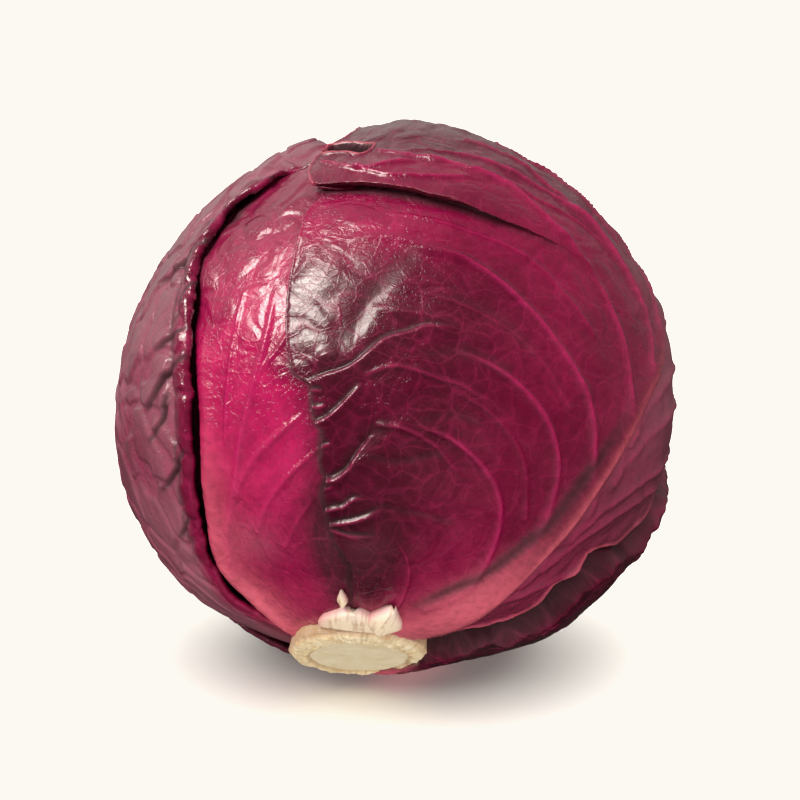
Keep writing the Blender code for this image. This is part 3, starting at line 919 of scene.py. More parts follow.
def left_leaf_relief(directions, from_left, from_right):
    """The left leaf: dusty, puffed between a net of pale veins, cracked and rolled along its margin."""
    strength = shape_settings().wrinkle
    from_stem, azimuth = head_angles(directions)
    azimuth = np.where(azimuth > LEFT_LEAF_SEAM, azimuth - 360.0, azimuth)
    border, puffed = net(directions, 13.0, 9.0, 53)
    fine_border, fine_puffed = net(directions, 6.0, 5.0, 54)
    veins = np.maximum(side_veins(directions, LEFT_LEAF, 7, 33), 0.9 * border)

    # Puffed plates, flatter away from the margin that is seen, and none beside the other one
    plates = (step(0.0, 0.5, puffed) - 0.5) * (0.15 + 0.85 * fall(45.0, 80.0, from_right))
    height = 0.9 * plates + 0.12 * (fine_puffed - 0.5) + 0.3 * veins + 0.9 * rolling(directions, 63)
    height = height + strength * 0.8 * (facets(directions, 20.0, 73) - 0.25)
    inward = step(30.0, 70.0, from_left)
    height = height * inward - 0.8 * (1.0 - inward)

    # Cracks, and the rolled strip along the margin with a groove behind it; painted shade fills the cracks'
    # slits and the groove.
    painted_shade = np.zeros(directions.shape[:-1])
    for points, lip, width in LEFT_CRACKS:
        raised, slit, _ = crease(directions, points, 0.8 * lip, width)
        height = height + raised * step(3.0, 9.0, from_right)
        painted_shade = np.maximum(painted_shade, slit)
    seen = step(30.0, 50.0, from_stem) * fall(104.0, 116.0, from_stem)
    height = height + (1.2 * bell(from_right - 2.2, 3.0) - 0.7 * bell(from_right - 7.0, 0.9)) * seen
    painted_shade = np.maximum(painted_shade, 0.7 * bell(from_right - 7.0, 0.7) * seen)
    height = height - 3.4 * step(114.0, 124.0, from_stem) * step(-52.0, -34.0, azimuth)

    dust = 0.62 + 0.35 * fall(35.0, 62.0, from_stem) + 0.3 * noise(directions, 0.2, 93)
    masks = {
        "vein": 0.6 * veins + 0.3 * fine_border,
        "pale": 0.3 * fall(15.0, 26.0, from_stem),
        "red": 0.25 + 0.2 * fall(25.0, 60.0, from_stem),
        "painted_shade": painted_shade,
        "bloom": dust * step(2.0, 9.0, from_right),
        "matte": np.zeros_like(painted_shade),
    }
    return {"height": height, "slide": np.zeros_like(directions), "masks": masks}


def back_leaf_relief(directions, from_left, from_right):
    """The back leaf: veined all over; it goes under the right leaf and bulges out in ruffles beside it."""
    strength = shape_settings().wrinkle
    from_stem, azimuth = head_angles(directions)
    x, y = head_to_leaf(BACK_LEAF, directions)
    y = y + BACK_LEAF["to_base"]
    border, puffed = net(directions, 12.0, 9.0, 55)
    veins = np.maximum(side_veins(directions, BACK_LEAF, 8, 35), 0.45 * border)
    rib = np.exp(-np.abs(x / (8.0 - 0.045 * y)) ** 2.4) * fall(129.0, 157.0, y)
    height = 1.8 * rib * (1.0 - y / 170.0) + 0.8 * veins * (1.0 - rib)
    height = height + 0.5 * (puffed - 0.5) + 0.8 * rolling(directions, 64)
    height = height + strength * 0.35 * (wrinkles(directions, 9.0, 74) - 0.3)

    # Ruffles beside the right leaf's margin, and the tuck under it
    azimuth = np.where(azimuth < 0.0, azimuth + 360.0, azimuth)
    beyond = (azimuth - margin(RIGHT_LEAF["right_margin"], from_stem)) * per_degree(from_stem)
    along = from_stem * 1.4
    ruffle = noise(np.stack([along, beyond * 0.4, np.zeros_like(along)], axis=-1), 10.0, 95)
    fine_ruffle = noise(np.stack([along, beyond * 0.8, np.zeros_like(along)], axis=-1), 4.0, 96)
    near = bell(beyond - 5.0, 9.0) * (1.0 - 0.7 * step(100.0, 125.0, from_stem))
    height = height + near * (0.2 + 2.0 * ruffle + 0.9 * fine_ruffle)
    tuck = fall(0.0, 4.5 + 2.0 * ruffle, beyond)
    height = height * (1.0 - tuck) - BACK_LEAF_TUCK * tuck
    masks = {
        "vein": 0.8 * veins * (1.0 - rib),
        "pale": 0.85 * rib * (1.0 - y / 120.0),
        "red": np.full_like(along, 0.08),
        # Painted shade where the leaf goes under the right leaf and in the ruffles' troughs.
        "painted_shade": tuck + 0.5 * near * bell(ruffle + 0.35, 0.2),
        "bloom": 0.12 + 0.2 * noise(directions, 0.2, 94),
        "matte": np.zeros_like(along),
    }
    return {"height": height, "slide": np.zeros_like(directions), "masks": masks}


# Stem and stubs -------------------------------------------------------------------------------------

# The stem, in millimetres. Its cut face, its neck's top and its core's middle are measured from the
# head's centre line; the core lies to the right and to the back of the middle.
STEM_CUT = 76.2
STEM_TOP = 19.0
STEM_RIM = 18.3
STEM_NECK = 16.2
NECK_TAPER = 9.6
CORE_RIM = 13.2
CORE_RIGHT = 0.8
CORE_BACK = 2.2
CORE_GROOVE_DEPTH = 0.55
CUT_RISE = 0.9
CUT_SLANT = 0.12
CUT_BACK = 0.9
RIM_DROP = 1.8
RIM_ROUND = 1.3
RIM_TORN = 0.45

# Rings of the cut face and of the side, and points round each
STEM_AROUND = 240
FACE_RINGS = ((0.0, 0.62, 26), (0.64, 0.80, 22), (0.81, 1.0, 40))
SIDE_RINGS = (0.03, 0.09, 0.2, 0.36, 0.6, 1.0)


def stem_arrays():
    """The stem as stacked rings: the cut face from its middle outwards, a torn rim, the neck and the top.

    On the cut face the height is fibre and tool-mark noise outside the core and nearly flat inside it."""
    turn = np.radians(np.linspace(0.0, 360.0, STEM_AROUND, endpoint=False))
    face = np.concatenate([np.linspace(*rings) for rings in FACE_RINGS])
    shares, turns = np.meshgrid(face, turn, indexing="ij")
    circle = np.stack([np.cos(turns), np.sin(turns), turns * 0], axis=-1)
    ragged = noise(circle, 0.42, 301) + 0.6 * noise(circle, 0.12, 302)
    rim = STEM_RIM + RIM_TORN * ragged
    x = shares * rim * np.sin(turns) + CORE_RIGHT * (1.0 - shares**2)
    y = -shares * rim * np.cos(turns) + CORE_BACK * (1.0 - shares**2)
    spot = np.stack([x, y, np.zeros_like(x)], axis=-1)
    core_edge = np.hypot(x - CORE_RIGHT, y - CORE_BACK) - CORE_RIM - 0.9 * noise(spot, 6.0, 303)
    outside = step(-0.3, 0.7, core_edge)
    fibres = noise(np.stack([turns * 26.0, shares * 2.0, 0 * turns], axis=-1), 1.0, 304)
    height = outside * (0.45 + 0.28 * fibres + 0.6 * noise(spot, 4.0, 305) + 0.25 * noise(spot, 1.3, 306))
    height = height + (1.0 - outside) * (0.10 * noise(spot, 4.0, 307) + 0.04 * noise(spot, 0.9, 308))
    height = height - CORE_GROOVE_DEPTH * bell(core_edge - 0.2, 0.45)
    height = height - RIM_ROUND * step(0.86, 1.0, shares) ** 2 + CUT_RISE - CUT_SLANT * x
    rings = np.stack([x, y, -(STEM_CUT - CUT_BACK + height)], axis=-1)

    side = []
    for share in SIDE_RINGS:
        radius = STEM_NECK + (STEM_RIM - STEM_NECK) * (1.0 - share) ** 3
        radius = radius - NECK_TAPER * step(0.35, 1.0, share)
        wobble = 0.5 * ragged[-1] * (1.0 - share)
        z = -(STEM_CUT - RIM_DROP - share * (STEM_CUT - STEM_TOP - RIM_DROP))
        z = z - (CUT_RISE - CUT_SLANT * radius * np.sin(turn)) * (1.0 - share) ** 4
        out = radius + wobble
        side.append(np.stack([out * np.sin(turn), -out * np.cos(turn), z], axis=-1))
    top = np.zeros((1, STEM_AROUND, 3))
    top[..., 2] = -STEM_TOP
    loop = np.concatenate([rings, np.array(side), top])[::-1]
    below = np.ones((len(SIDE_RINGS) + 1, STEM_AROUND))
    masks = {
        "ring": np.vstack([outside, below])[::-1],
        "rind": np.vstack([step(0.9, 1.0, shares), below])[::-1],
        "groove": np.vstack([bell(core_edge - 0.2, 0.6), below * 0.0])[::-1],
        "turn": np.vstack([turns / (2.0 * np.pi), below * 0.0])[::-1],
    }
    return loop, masks


def stub(from_stem, azimuth, half_height, half_width, blade, depth, **more):
    """A cut leaf base: sizes in degrees, thickness and depth in millimetres."""
    leaf = {
        "from_stem": from_stem,
        "azimuth": azimuth,
        "base": from_stem - half_height,
        "tip": from_stem + half_height,
        "half_width": half_width,
        "depth": depth,
        "blade": blade,
        "hollow": 0.0,
        "edge_round": 0.8,
        "base_round": half_height * 0.7,
        "tip_round": half_height * 0.9,
        "ragged": 0.12,
        "rows": 60,
        "columns": 60,
        "dome": 0.5,
        "point": 0.0,
        "seed": 1,
    }
    leaf.update(more)
    return leaf


STUBS = {
    "cut_leaf_base_front": stub(
        from_stem=17.0, azimuth=-8.0, half_height=3.0, half_width=7.4, blade=3.4, depth=1.8,
        point=0.4, dome=1.0, seed=5, base_round=0.4, tip_round=2.6),
    "cut_leaf_stub_right": stub(
        from_stem=19.0, azimuth=11.5, half_height=4.4, half_width=4.0, blade=1.8, depth=1.3,
        point=0.55, dome=1.3, seed=6, tip_round=4.0),
    "cut_leaf_stub_left": stub(
        from_stem=22.6, azimuth=-14.0, half_height=2.3, half_width=1.1, blade=0.9, depth=2.6,
        point=0.6, dome=0.6, seed=7),
    "cut_leaf_base_back": stub(
        from_stem=16.6, azimuth=-150.0, half_height=2.4, half_width=2.8, blade=2.0, depth=0.2,
        dome=0.8, seed=8),
}


def stub_relief(leaf):
    """A stub's surface: a dome, 1 - across^2, with fibres along it and a dry torn tip."""
    def relief(directions, from_left, from_right):
        from_stem, _ = head_angles(directions)
        across = np.abs(from_left - from_right) / np.maximum(from_left + from_right, 0.01)
        along = (from_stem - leaf["base"]) / (leaf["tip"] - leaf["base"])
        own = np.full_like(along, leaf["seed"] * 3.0)
        spot = np.stack([(from_left - from_right) * 0.9, along * 2.0, own], axis=-1)
        height = leaf["dome"] * (1.0 - across**2)
        height = height + 0.08 * noise(spot, 0.8, 311) + 0.2 * noise(spot, 3.0, 312)
        tip = step(0.4, 1.0, along)
        return {
            "height": height,
            "slide": np.zeros_like(directions),
            "masks": {"tip": tip, "edge": across, "dry": np.clip(0.5 + noise(spot, 1.6, 313), 0, 1)},
        }
    return relief


# Materials ------------------------------------------------------------------------------------------

def add_node(tree, kind, inputs=None, **settings):
    """A node with its settings, and its inputs set to values or linked to sockets."""
    made = tree.nodes.new(kind)
    for key, value in settings.items():
        setattr(made, key, value)
    for key, value in (inputs or {}).items():
        if isinstance(value, bpy.types.NodeSocket):
            tree.links.new(value, made.inputs[key])
        else:
            made.inputs[key].default_value = value
    return made


def start_material(name, roughness, specular, coat=0.0):
    """A material with one Principled shader whose constant values sit on its own sockets."""
    material = bpy.data.materials.new(name)
    material.use_nodes = True
    tree = material.node_tree
    shader = tree.nodes["Principled BSDF"]
    shader.inputs["Roughness"].default_value = roughness
    shader.inputs["Specular IOR Level"].default_value = specular
    shader.inputs["Coat Weight"].default_value = coat
    shader.inputs["Coat Roughness"].default_value = 0.12
    return material, tree, shader


def field_of(tree, name):
    """A piece's attribute."""
    return add_node(tree, "ShaderNodeAttribute", attribute_name=name).outputs["Fac"]


def blend_colour(tree, share, first, second):
    """From the first colour at share 0 to the second at 1; each is a socket or a value."""
    made = add_node(tree, "ShaderNodeMix", data_type="RGBA")
    for socket, value in ((made.inputs[0], share), (made.inputs[6], first), (made.inputs[7], second)):
        if isinstance(value, bpy.types.NodeSocket):
            tree.links.new(value, socket)
        elif isinstance(value, (int, float)):
            socket.default_value = value
        else:
            socket.default_value = (*value, 1.0)
    return made.outputs[2]


def arithmetic(tree, operation, first, second=0.0, third=0.0, clamp=False):
    """One Math node's result."""
    return add_node(tree, "ShaderNodeMath", {0: first, 1: second, 2: third},
                    operation=operation, use_clamp=clamp).outputs[0]


def scaled_range(tree, value, low, high, to_low=0.0, to_high=1.0):
    """A value carried from one range to another, and held at its ends."""
    return add_node(tree, "ShaderNodeMapRange", {
        "Value": value, "From Min": low, "From Max": high, "To Min": to_low, "To Max": to_high,
    }).outputs["Result"]


def noise_node(tree, place, scale, detail=4.0, roughness=0.55, distortion=0.0):
    """One Noise Texture's value, 0 to 1."""
    return add_node(tree, "ShaderNodeTexNoise", {
        "Vector": place, "Scale": scale, "Detail": detail, "Roughness": roughness, "Distortion": distortion,
    }).outputs["Fac"]


def leaf_skin():
    """Leaf skin: purple to magenta blade, fine vein net, raised veins, pale base, wax bloom, painted crease
    shade.
    """
    colours = colour_settings()
    material, tree, shader = start_material("cabbage leaf skin", 0.3, 0.5, 0.3)
    place = add_node(tree, "ShaderNodeTexCoord").outputs["Object"]
    plane = add_node(tree, "ShaderNodeUVMap", uv_map="leaf").outputs["UV"]
    vein, pale, red = field_of(tree, "vein"), field_of(tree, "pale"), field_of(tree, "red")
    painted_shade, bloom, matte = field_of(tree, "painted_shade"), field_of(tree, "bloom"), field_of(tree, "matte")

    warp = add_node(tree, "ShaderNodeTexNoise", {"Vector": plane, "Scale": 26.0, "Detail": 2.0})
    warp = warp.outputs["Color"]
    bent = add_node(tree, "ShaderNodeVectorMath", {0: warp, 1: (0.022, 0.022, 0.0), 2: plane},
                    operation="MULTIPLY_ADD").outputs[0]
    nets = []
    for scale, width in ((34.0, 0.055), (82.0, 0.10)):
        border = add_node(tree, "ShaderNodeTexVoronoi", {"Vector": bent, "Scale": scale},
                          feature="DISTANCE_TO_EDGE").outputs["Distance"]
        nets.append(scaled_range(tree, border, 0.0, width, 1.0, 0.0))
    patches = noise_node(tree, place, 38.0, 5.0, 0.6, 0.6)
    speckle = noise_node(tree, place, 420.0, 3.0, 0.6)
    pits = noise_node(tree, place, 1100.0, 2.0, 0.6)

    redness = arithmetic(tree, "MULTIPLY", red, scaled_range(tree, patches, 0.3, 0.7, 0.5, 1.2), clamp=True)
    blade = blend_colour(tree, redness, colours.purple, colours.magenta)
    fine = arithmetic(tree, "MULTIPLY_ADD", nets[0], 0.13, arithmetic(tree, "MULTIPLY", nets[1], 0.06))
    fine = arithmetic(tree, "MULTIPLY", fine, scaled_range(tree, patches, 0.3, 0.65, 0.5, 1.2))
    # The vein mask also carries painted highlights on the pleats' lips.
    lines = arithmetic(tree, "MULTIPLY_ADD", vein, 0.62, fine, clamp=True)
    veined = blend_colour(tree, lines, blade, colours.vein)
    dust = arithmetic(tree, "MULTIPLY", bloom, scaled_range(tree, speckle, 0.3, 0.7, 0.55, 0.95), clamp=True)
    dusty = blend_colour(tree, dust, veined, colours.bloom)
    # The pale mask also carries painted highlight lines on the fold's and the hole's rims.
    light = blend_colour(tree, arithmetic(tree, "MULTIPLY", pale, 0.92, clamp=True), dusty, colours.pale)
    # Painted shade: creases, slits, gaps between leaves and the fold's underside take the crease colour.
    final = blend_colour(tree, arithmetic(tree, "MULTIPLY", painted_shade, 0.94, clamp=True), light, colours.shade)
    mottled = blend_colour(tree, scaled_range(tree, speckle, 0.42, 0.66, 0.0, 0.22), final, colours.shade)
    tree.links.new(mottled, shader.inputs["Base Color"])

    rough = arithmetic(tree, "MULTIPLY_ADD", bloom, 0.20, scaled_range(tree, patches, 0.3, 0.7, 0.16, 0.30))
    rough = arithmetic(tree, "MULTIPLY_ADD", matte, 0.10, rough)
    rough = arithmetic(tree, "MULTIPLY_ADD", painted_shade, 0.55, rough, clamp=True)
    tree.links.new(rough, shader.inputs["Roughness"])

    height = arithmetic(tree, "MULTIPLY_ADD", nets[0], 0.35, arithmetic(tree, "MULTIPLY", nets[1], 0.2))
    height = arithmetic(tree, "ADD", height, arithmetic(tree, "MULTIPLY", speckle, 0.3))
    height = arithmetic(tree, "ADD", height, scaled_range(tree, pits, 0.35, 0.45, -0.3, 0.0))
    bump = add_node(tree, "ShaderNodeBump", {"Height": height, "Strength": 0.45, "Distance": 0.0004})
    tree.links.new(bump.outputs[0], shader.inputs["Normal"])
    return material


def inner_leaf_skin():
    """Inner leaves and heart: purple skin over paler flesh, with faint veins."""
    colours = colour_settings()
    material, tree, shader = start_material("cabbage inner leaf", 0.45, 0.3)
    place = add_node(tree, "ShaderNodeTexCoord").outputs["Object"]
    patches = noise_node(tree, place, 45.0, 4.0, 0.6, 1.2)
    blade = blend_colour(tree, scaled_range(tree, patches, 0.35, 0.7), colours.purple,
                         colours.magenta)
    border = add_node(tree, "ShaderNodeTexVoronoi", {"Vector": place, "Scale": 130.0},
                      feature="DISTANCE_TO_EDGE").outputs["Distance"]
    lines = scaled_range(tree, border, 0.0, 0.08, 0.5, 0.0)
    tree.links.new(blend_colour(tree, lines, blade, colours.vein), shader.inputs["Base Color"])
    bump = add_node(tree, "ShaderNodeBump", {"Height": lines, "Strength": 0.4, "Distance": 0.0005})
    tree.links.new(bump.outputs[0], shader.inputs["Normal"])
    return material


# Shades of the stem's flesh and of the cut leaf bases
CORE_BROWNED = (0.60, 0.49, 0.30)
DRY_FLESH = (0.80, 0.68, 0.48)
DRY_BROWNED = (0.60, 0.44, 0.24)
DARK_FIBRE = (0.30, 0.17, 0.075)
LIGHT_FIBRE = (0.85, 0.75, 0.54)
TORN_RIND = (0.42, 0.20, 0.12)
CORE_GROOVE = (0.36, 0.20, 0.08)
STUB_FLESH = (0.74, 0.60, 0.44)
STUB_EDGE = (0.55, 0.17, 0.22)
STUB_TIP = (0.78, 0.62, 0.60)
STUB_BROWNED = (0.38, 0.20, 0.11)


def stem_flesh():
    """Cut stem: smooth yellow core, rough fibrous ring browning outwards, torn rind."""
    colours = colour_settings()
    material, tree, shader = start_material("cabbage stem flesh", 0.62, 0.25)
    place = add_node(tree, "ShaderNodeTexCoord").outputs["Object"]
    ring, rind = field_of(tree, "ring"), field_of(tree, "rind")
    groove, turn = field_of(tree, "groove"), field_of(tree, "turn")
    spots = noise_node(tree, place, 900.0, 4.0, 0.65)
    blotches = noise_node(tree, place, 190.0, 5.0, 0.65, 0.8)
    stripes = add_node(tree, "ShaderNodeTexNoise", {
        "Vector": add_node(tree, "ShaderNodeCombineXYZ", {"X": turn}).outputs[0],
        "Scale": 150.0, "Detail": 3.0}).outputs["Fac"]
    core = blend_colour(tree, scaled_range(tree, blotches, 0.35, 0.7), colours.stem, CORE_BROWNED)
    dry = blend_colour(tree, scaled_range(tree, blotches, 0.36, 0.64), DRY_FLESH, DRY_BROWNED)
    streaked = blend_colour(tree, scaled_range(tree, stripes, 0.45, 0.72, 0.0, 0.5), dry, DARK_FIBRE)
    spotted = blend_colour(tree, scaled_range(tree, spots, 0.52, 0.70, 0.0, 0.6), streaked, LIGHT_FIBRE)
    body = blend_colour(tree, ring, core, spotted)
    edged = blend_colour(tree, arithmetic(tree, "MULTIPLY", rind, 0.55), body, TORN_RIND)
    grooved = blend_colour(tree, arithmetic(tree, "MULTIPLY", groove, 0.6), edged, CORE_GROOVE)
    tree.links.new(grooved, shader.inputs["Base Color"])
    height = arithmetic(tree, "MULTIPLY_ADD", stripes, ring, arithmetic(tree, "MULTIPLY", spots, 0.8))
    bump = add_node(tree, "ShaderNodeBump", {"Height": height, "Strength": 0.6, "Distance": 0.0006})
    tree.links.new(bump.outputs[0], shader.inputs["Normal"])
    return material


def stub_flesh():
    """Cut leaf bases: whitish flesh, pink towards the edges, brown where it has dried."""
    material, tree, shader = start_material("cabbage stub flesh", 0.5, 0.3)
    place = add_node(tree, "ShaderNodeTexCoord").outputs["Object"]
    tip, edge, dry = field_of(tree, "tip"), field_of(tree, "edge"), field_of(tree, "dry")
    grain = noise_node(tree, place, 500.0, 4.0, 0.6)
    rosy = arithmetic(tree, "MULTIPLY", arithmetic(tree, "POWER", edge, 5.0), 0.8)
    pink = blend_colour(tree, rosy, STUB_FLESH, STUB_EDGE)
    torn = blend_colour(tree, arithmetic(tree, "MULTIPLY", tip, 0.5), pink, STUB_TIP)
    browning = scaled_range(tree, arithmetic(tree, "MULTIPLY", dry, grain), 0.25, 0.6, 0.0, 0.6)
    browned = blend_colour(tree, browning, torn, STUB_BROWNED)
    tree.links.new(browned, shader.inputs["Base Color"])
    bump = add_node(tree, "ShaderNodeBump", {"Height": grain, "Strength": 0.5, "Distance": 0.0004})
    tree.links.new(bump.outputs[0], shader.inputs["Normal"])
    return material


def floor_surface():
    """The floor: nearly white, with a faint broad unevenness."""
    material, tree, shader = start_material("stage floor", 0.9, 0.05)
    place = add_node(tree, "ShaderNodeTexCoord").outputs["Object"]
    grain = noise_node(tree, place, 6.0, 2.0)
    share = scaled_range(tree, grain, 0.3, 0.7, 0.0, 0.04)
    tone = blend_colour(tree, share, (0.90, 0.90, 0.90), (0.88, 0.88, 0.88))
    tree.links.new(tone, shader.inputs["Base Color"])
    return material


# Stage ----------------------------------------------------------------------------------------------

CAMERA_DISTANCE = 0.533
CAMERA_ELEVATION = 12.0
CAMERA_SHIFT = (0.0044, -0.0038)
LENS = 85.0
FLOOR_HALF = 3.0
LAMP_COLOUR = (1.0, 0.985, 0.96)
# The warm white that a fully exposed place takes
BACKDROP_WHITE = (0.973, 0.947, 0.888)
# Light from all round, light from below in front, and the backdrop that the camera sees
AMBIENT = 0.35
BOUNCE = 1.9
BACKDROP = 1.5

# Lamps: name, where its light comes from, energy, angular size in degrees, what it lights
SOFTBOXES = (
    ("key", (-0.62, -0.32, 0.72), 3.0, 30.0, "head"),
    ("glint", (-0.62, -0.32, 0.72), 1.0, 20.0, "head gloss"),
    ("front fill", (0.25, -1.0, 0.0), 0.8, 100.0, "head blade"),
    ("right fill", (0.70, -0.38, 0.60), 1.5, 60.0, "head blade"),
    ("top", (0.0, -0.15, 1.0), 1.4, 45.0, "head blade"),
    ("left fill", (-1.0, -0.20, -0.35), 1.1, 60.0, "head blade"),
    ("floor top", (0.0, 0.0, 1.0), 5.6, 115.0, "floor"),
    ("floor wash", (0.0, 0.0, 1.0), 0.4, 10.0, "floor shadowless"),
)


def add_floor():
    """A plain pale floor. It is overexposed to fade into the backdrop, so it is kept out of bounced light
    and reflections; BOUNCE is what the leaves get from below instead."""
    half = FLOOR_HALF
    mesh = bpy.data.meshes.new("floor")
    corners = [(-half, -half, 0), (half, -half, 0), (half, half, 0), (-half, half, 0)]
    mesh.from_pydata(corners, [], [(0, 1, 2, 3)])
    mesh.materials.append(floor_surface())
    floor = bpy.data.objects.new("floor", mesh)
    floor.visible_glossy = False
    floor.visible_diffuse = False
    bpy.context.scene.collection.objects.link(floor)
    return floor


def add_lamps(floor):
    """The lamps of SOFTBOXES, each lighting either the floor alone or everything but the floor."""
    floor_only = bpy.data.collections.new("lit floor")
    floor_only.objects.link(floor)
    all_but_floor = bpy.data.collections.new("unlit floor")
    all_but_floor.objects.link(floor)
    all_but_floor.collection_objects[0].light_linking.link_state = "EXCLUDE"
    for name, towards, energy, angle, lights_up in SOFTBOXES:
        light = bpy.data.lights.new(name, "SUN")
        light.energy = energy
        light.angle = math.radians(angle)
        light.color = LAMP_COLOUR
        light.use_shadow = "shadowless" not in lights_up
        lamp = bpy.data.objects.new(name, light)
        lamp.rotation_mode = "QUATERNION"
        lamp.rotation_quaternion = Vector(towards).to_track_quat("Z", "Y")
        lamp.visible_glossy = "blade" not in lights_up
        lamp.visible_diffuse = "gloss" not in lights_up
        lamp.light_linking.receiver_collection = floor_only if "floor" in lights_up else all_but_floor
        bpy.context.scene.collection.objects.link(lamp)


def mix_numbers(tree, share, first, second):
    """From the first number at share 0 to the second at 1."""
    return add_node(tree, "ShaderNodeMix", {0: share, 2: first, 3: second}).outputs[0]


def add_surroundings():
    """The world: a glow behind and to the left for reflections, even light for the rest, which grows
    below and in front, and a bright backdrop for the camera."""
    world = bpy.data.worlds.new("studio")
    world.use_nodes = True
    bpy.context.scene.world = world
    tree = world.node_tree
    tree.nodes.clear()
    towards = add_node(tree, "ShaderNodeTexCoord").outputs["Generated"]
    split = add_node(tree, "ShaderNodeSeparateXYZ", {0: towards}).outputs
    glow = scaled_range(tree, split["Y"], -0.4, 0.9, 0.02, 0.55)
    glow = arithmetic(tree, "MULTIPLY", glow, scaled_range(tree, split["Z"], -0.25, 0.35, 0.06, 1.0))
    glow = arithmetic(tree, "MULTIPLY", glow, scaled_range(tree, split["X"], -0.6, 0.5, 1.7, 0.5))
    glow = arithmetic(tree, "ADD", glow, scaled_range(tree, split["Z"], 0.2, 1.0, 0.0, 0.08))
    below = scaled_range(tree, split["Y"], -0.9, 0.2, BOUNCE, AMBIENT)
    even = mix_numbers(tree, scaled_range(tree, split["Z"], -0.3, 0.2), below, AMBIENT)
    ray = add_node(tree, "ShaderNodeLightPath").outputs
    strength = mix_numbers(tree, ray["Is Glossy Ray"], even, glow)
    strength = mix_numbers(tree, ray["Is Camera Ray"], strength, BACKDROP)
    lit = add_node(tree, "ShaderNodeBackground", {"Color": (1.0, 1.0, 1.0, 1.0), "Strength": strength})
    add_node(tree, "ShaderNodeOutputWorld", {"Surface": lit.outputs[0]})


def add_camera():
    """A long lens that looks slightly down at the head from its stem's side."""
    lens = bpy.data.cameras.new("camera")
    lens.lens = LENS
    lens.sensor_width = 36.0
    lens.shift_x, lens.shift_y = CAMERA_SHIFT
    camera = bpy.data.objects.new("camera", lens)
    lift = math.radians(CAMERA_ELEVATION)
    offset = Vector((0.0, -math.cos(lift), math.sin(lift))) * CAMERA_DISTANCE
    camera.location = Vector(head_centre() * MM) + offset
    camera.rotation_mode = "QUATERNION"
    camera.rotation_quaternion = offset.to_track_quat("Z", "Y")
    bpy.context.scene.collection.objects.link(camera)
    bpy.context.scene.camera = camera


def set_tone_curve():
    """A straight tone curve that ends in the backdrop's warm white."""
    view = bpy.context.scene.view_settings
    view.view_transform = "Standard"
    view.use_curve_mapping = True
    view.curve_mapping.extend = "HORIZONTAL"
    for channel, white in zip(view.curve_mapping.curves, BACKDROP_WHITE):
        channel.points[-1].location = (1.0, white)
    view.curve_mapping.update()


# Operators ------------------------------------------------------------------------------------------

def shared_material(name, build):
    """The named material, built the first time that it is asked for."""
    return bpy.data.materials.get(name) or build()


def place_leaf(name, leaf, relief, node):
    """A wrapper leaf, riding on the head in place of its frame node."""
    piece = make_leaf(name, leaf, relief, shared_material("cabbage leaf skin", leaf_skin))
    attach(piece, "root")
    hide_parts(node)


class CABBAGE_OT_wrapper_leaves(bpy.types.Operator):
    """Build the four wrapper leaves and let them stand for those of the frame"""
    bl_idname = "cabbage.wrapper_leaves"
    bl_label = "Wrapper Leaves"

    def execute(self, context):
        place_leaf("back_leaf", BACK_LEAF, back_leaf_relief, "wrapper_leaf_back")
        place_leaf("left_leaf", LEFT_LEAF, left_leaf_relief, "wrapper_leaf_left")
        place_leaf("right_leaf", RIGHT_LEAF, right_leaf_relief, "wrapper_leaf_right")
        place_leaf("front_leaf", FRONT_LEAF, front_leaf_relief, "wrapper_leaf_front")
        return {"FINISHED"}


class CABBAGE_OT_inner_leaves(bpy.types.Operator):
    """Give the frame's inner leaves and heart their leaf material"""
    bl_idname = "cabbage.inner_leaves"
    bl_label = "Inner Leaves"

    def execute(self, context):
        material = shared_material("cabbage inner leaf", inner_leaf_skin)
        for name in (*INNER_LEAVES, "heart"):
            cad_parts[name].material_slots[0].material = material
        return {"FINISHED"}


class CABBAGE_OT_stem(bpy.types.Operator):
    """Build the cut stem"""
    bl_idname = "cabbage.stem"
    bl_label = "Stem"

    def execute(self, context):
        loop, masks = stem_arrays()
        piece = loops_piece("cut_stem", loop, masks, shared_material("cabbage stem flesh", stem_flesh))
        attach(piece, "root")
        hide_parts("stem")
        return {"FINISHED"}


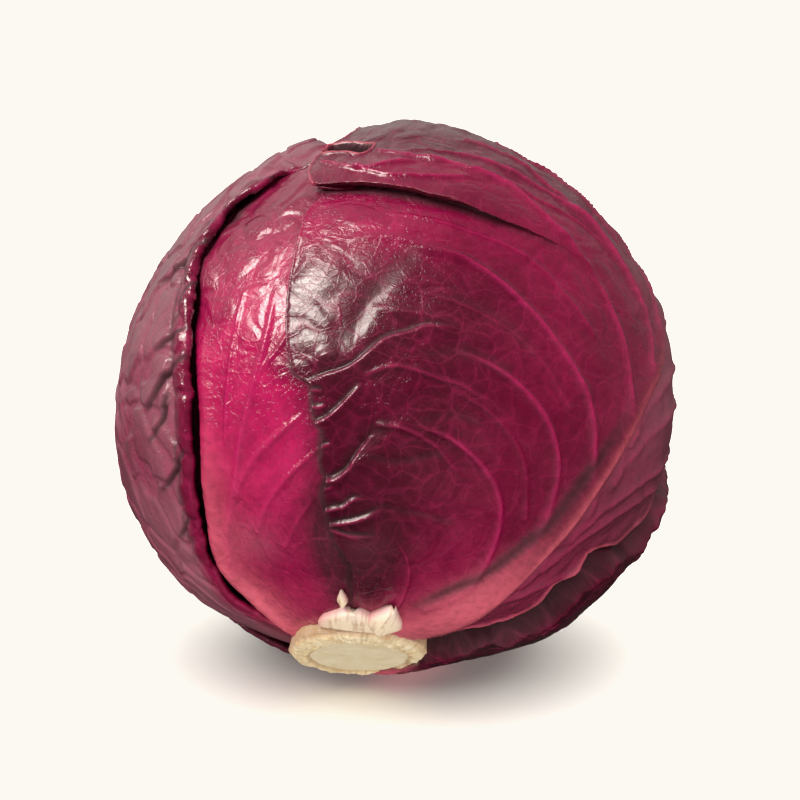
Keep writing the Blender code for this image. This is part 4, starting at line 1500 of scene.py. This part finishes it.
class CABBAGE_OT_stubs(bpy.types.Operator):
    """Build the cut leaf bases around the stem"""
    bl_idname = "cabbage.stubs"
    bl_label = "Leaf Stubs"

    def execute(self, context):
        material = shared_material("cabbage stub flesh", stub_flesh)
        for node, leaf in STUBS.items():
            piece = make_leaf(node + "_torn", leaf, stub_relief(leaf), material)
            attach(piece, "root")
            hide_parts(node)
        return {"FINISHED"}


class CABBAGE_OT_stage(bpy.types.Operator):
    """Set up the floor, the light and the camera"""
    bl_idname = "cabbage.stage"
    bl_label = "Stage"

    def execute(self, context):
        add_lamps(add_floor())
        add_surroundings()
        add_camera()
        set_tone_curve()
        return {"FINISHED"}


class CABBAGE_PT_panel(bpy.types.Panel):
    """Sliders of the cabbage and the buttons that build it"""
    bl_idname = "CABBAGE_PT_panel"
    bl_label = "Cabbage"
    bl_space_type = "VIEW_3D"
    bl_region_type = "UI"
    bl_category = "Cabbage"

    def draw(self, context):
        for settings in (context.scene.cabbage_shape, context.scene.cabbage_colours):
            for name in settings.__annotations__:
                self.layout.prop(settings, name)
        for operator in OPERATORS:
            self.layout.operator(operator.bl_idname)


OPERATORS = (
    CABBAGE_OT_wrapper_leaves,
    CABBAGE_OT_inner_leaves,
    CABBAGE_OT_stem,
    CABBAGE_OT_stubs,
    CABBAGE_OT_stage,
)
CLASSES = (CabbageShape, CabbageColours, *OPERATORS, CABBAGE_PT_panel)


def register():
    """Adds the settings, the operators and the panel."""
    for cls in CLASSES:
        bpy.utils.register_class(cls)
    bpy.types.Scene.cabbage_shape = PointerProperty(type=CabbageShape)
    bpy.types.Scene.cabbage_colours = PointerProperty(type=CabbageColours)


def unregister():
    """Takes them away again."""
    del bpy.types.Scene.cabbage_colours
    del bpy.types.Scene.cabbage_shape
    for cls in reversed(CLASSES):
        bpy.utils.unregister_class(cls)


def main():
    """Builds the whole scene."""
    register()
    bpy.ops.cabbage.inner_leaves()
    bpy.ops.cabbage.wrapper_leaves()
    bpy.ops.cabbage.stem()
    bpy.ops.cabbage.stubs()
    bpy.ops.cabbage.stage()


if __name__ == "__main__":
    main()
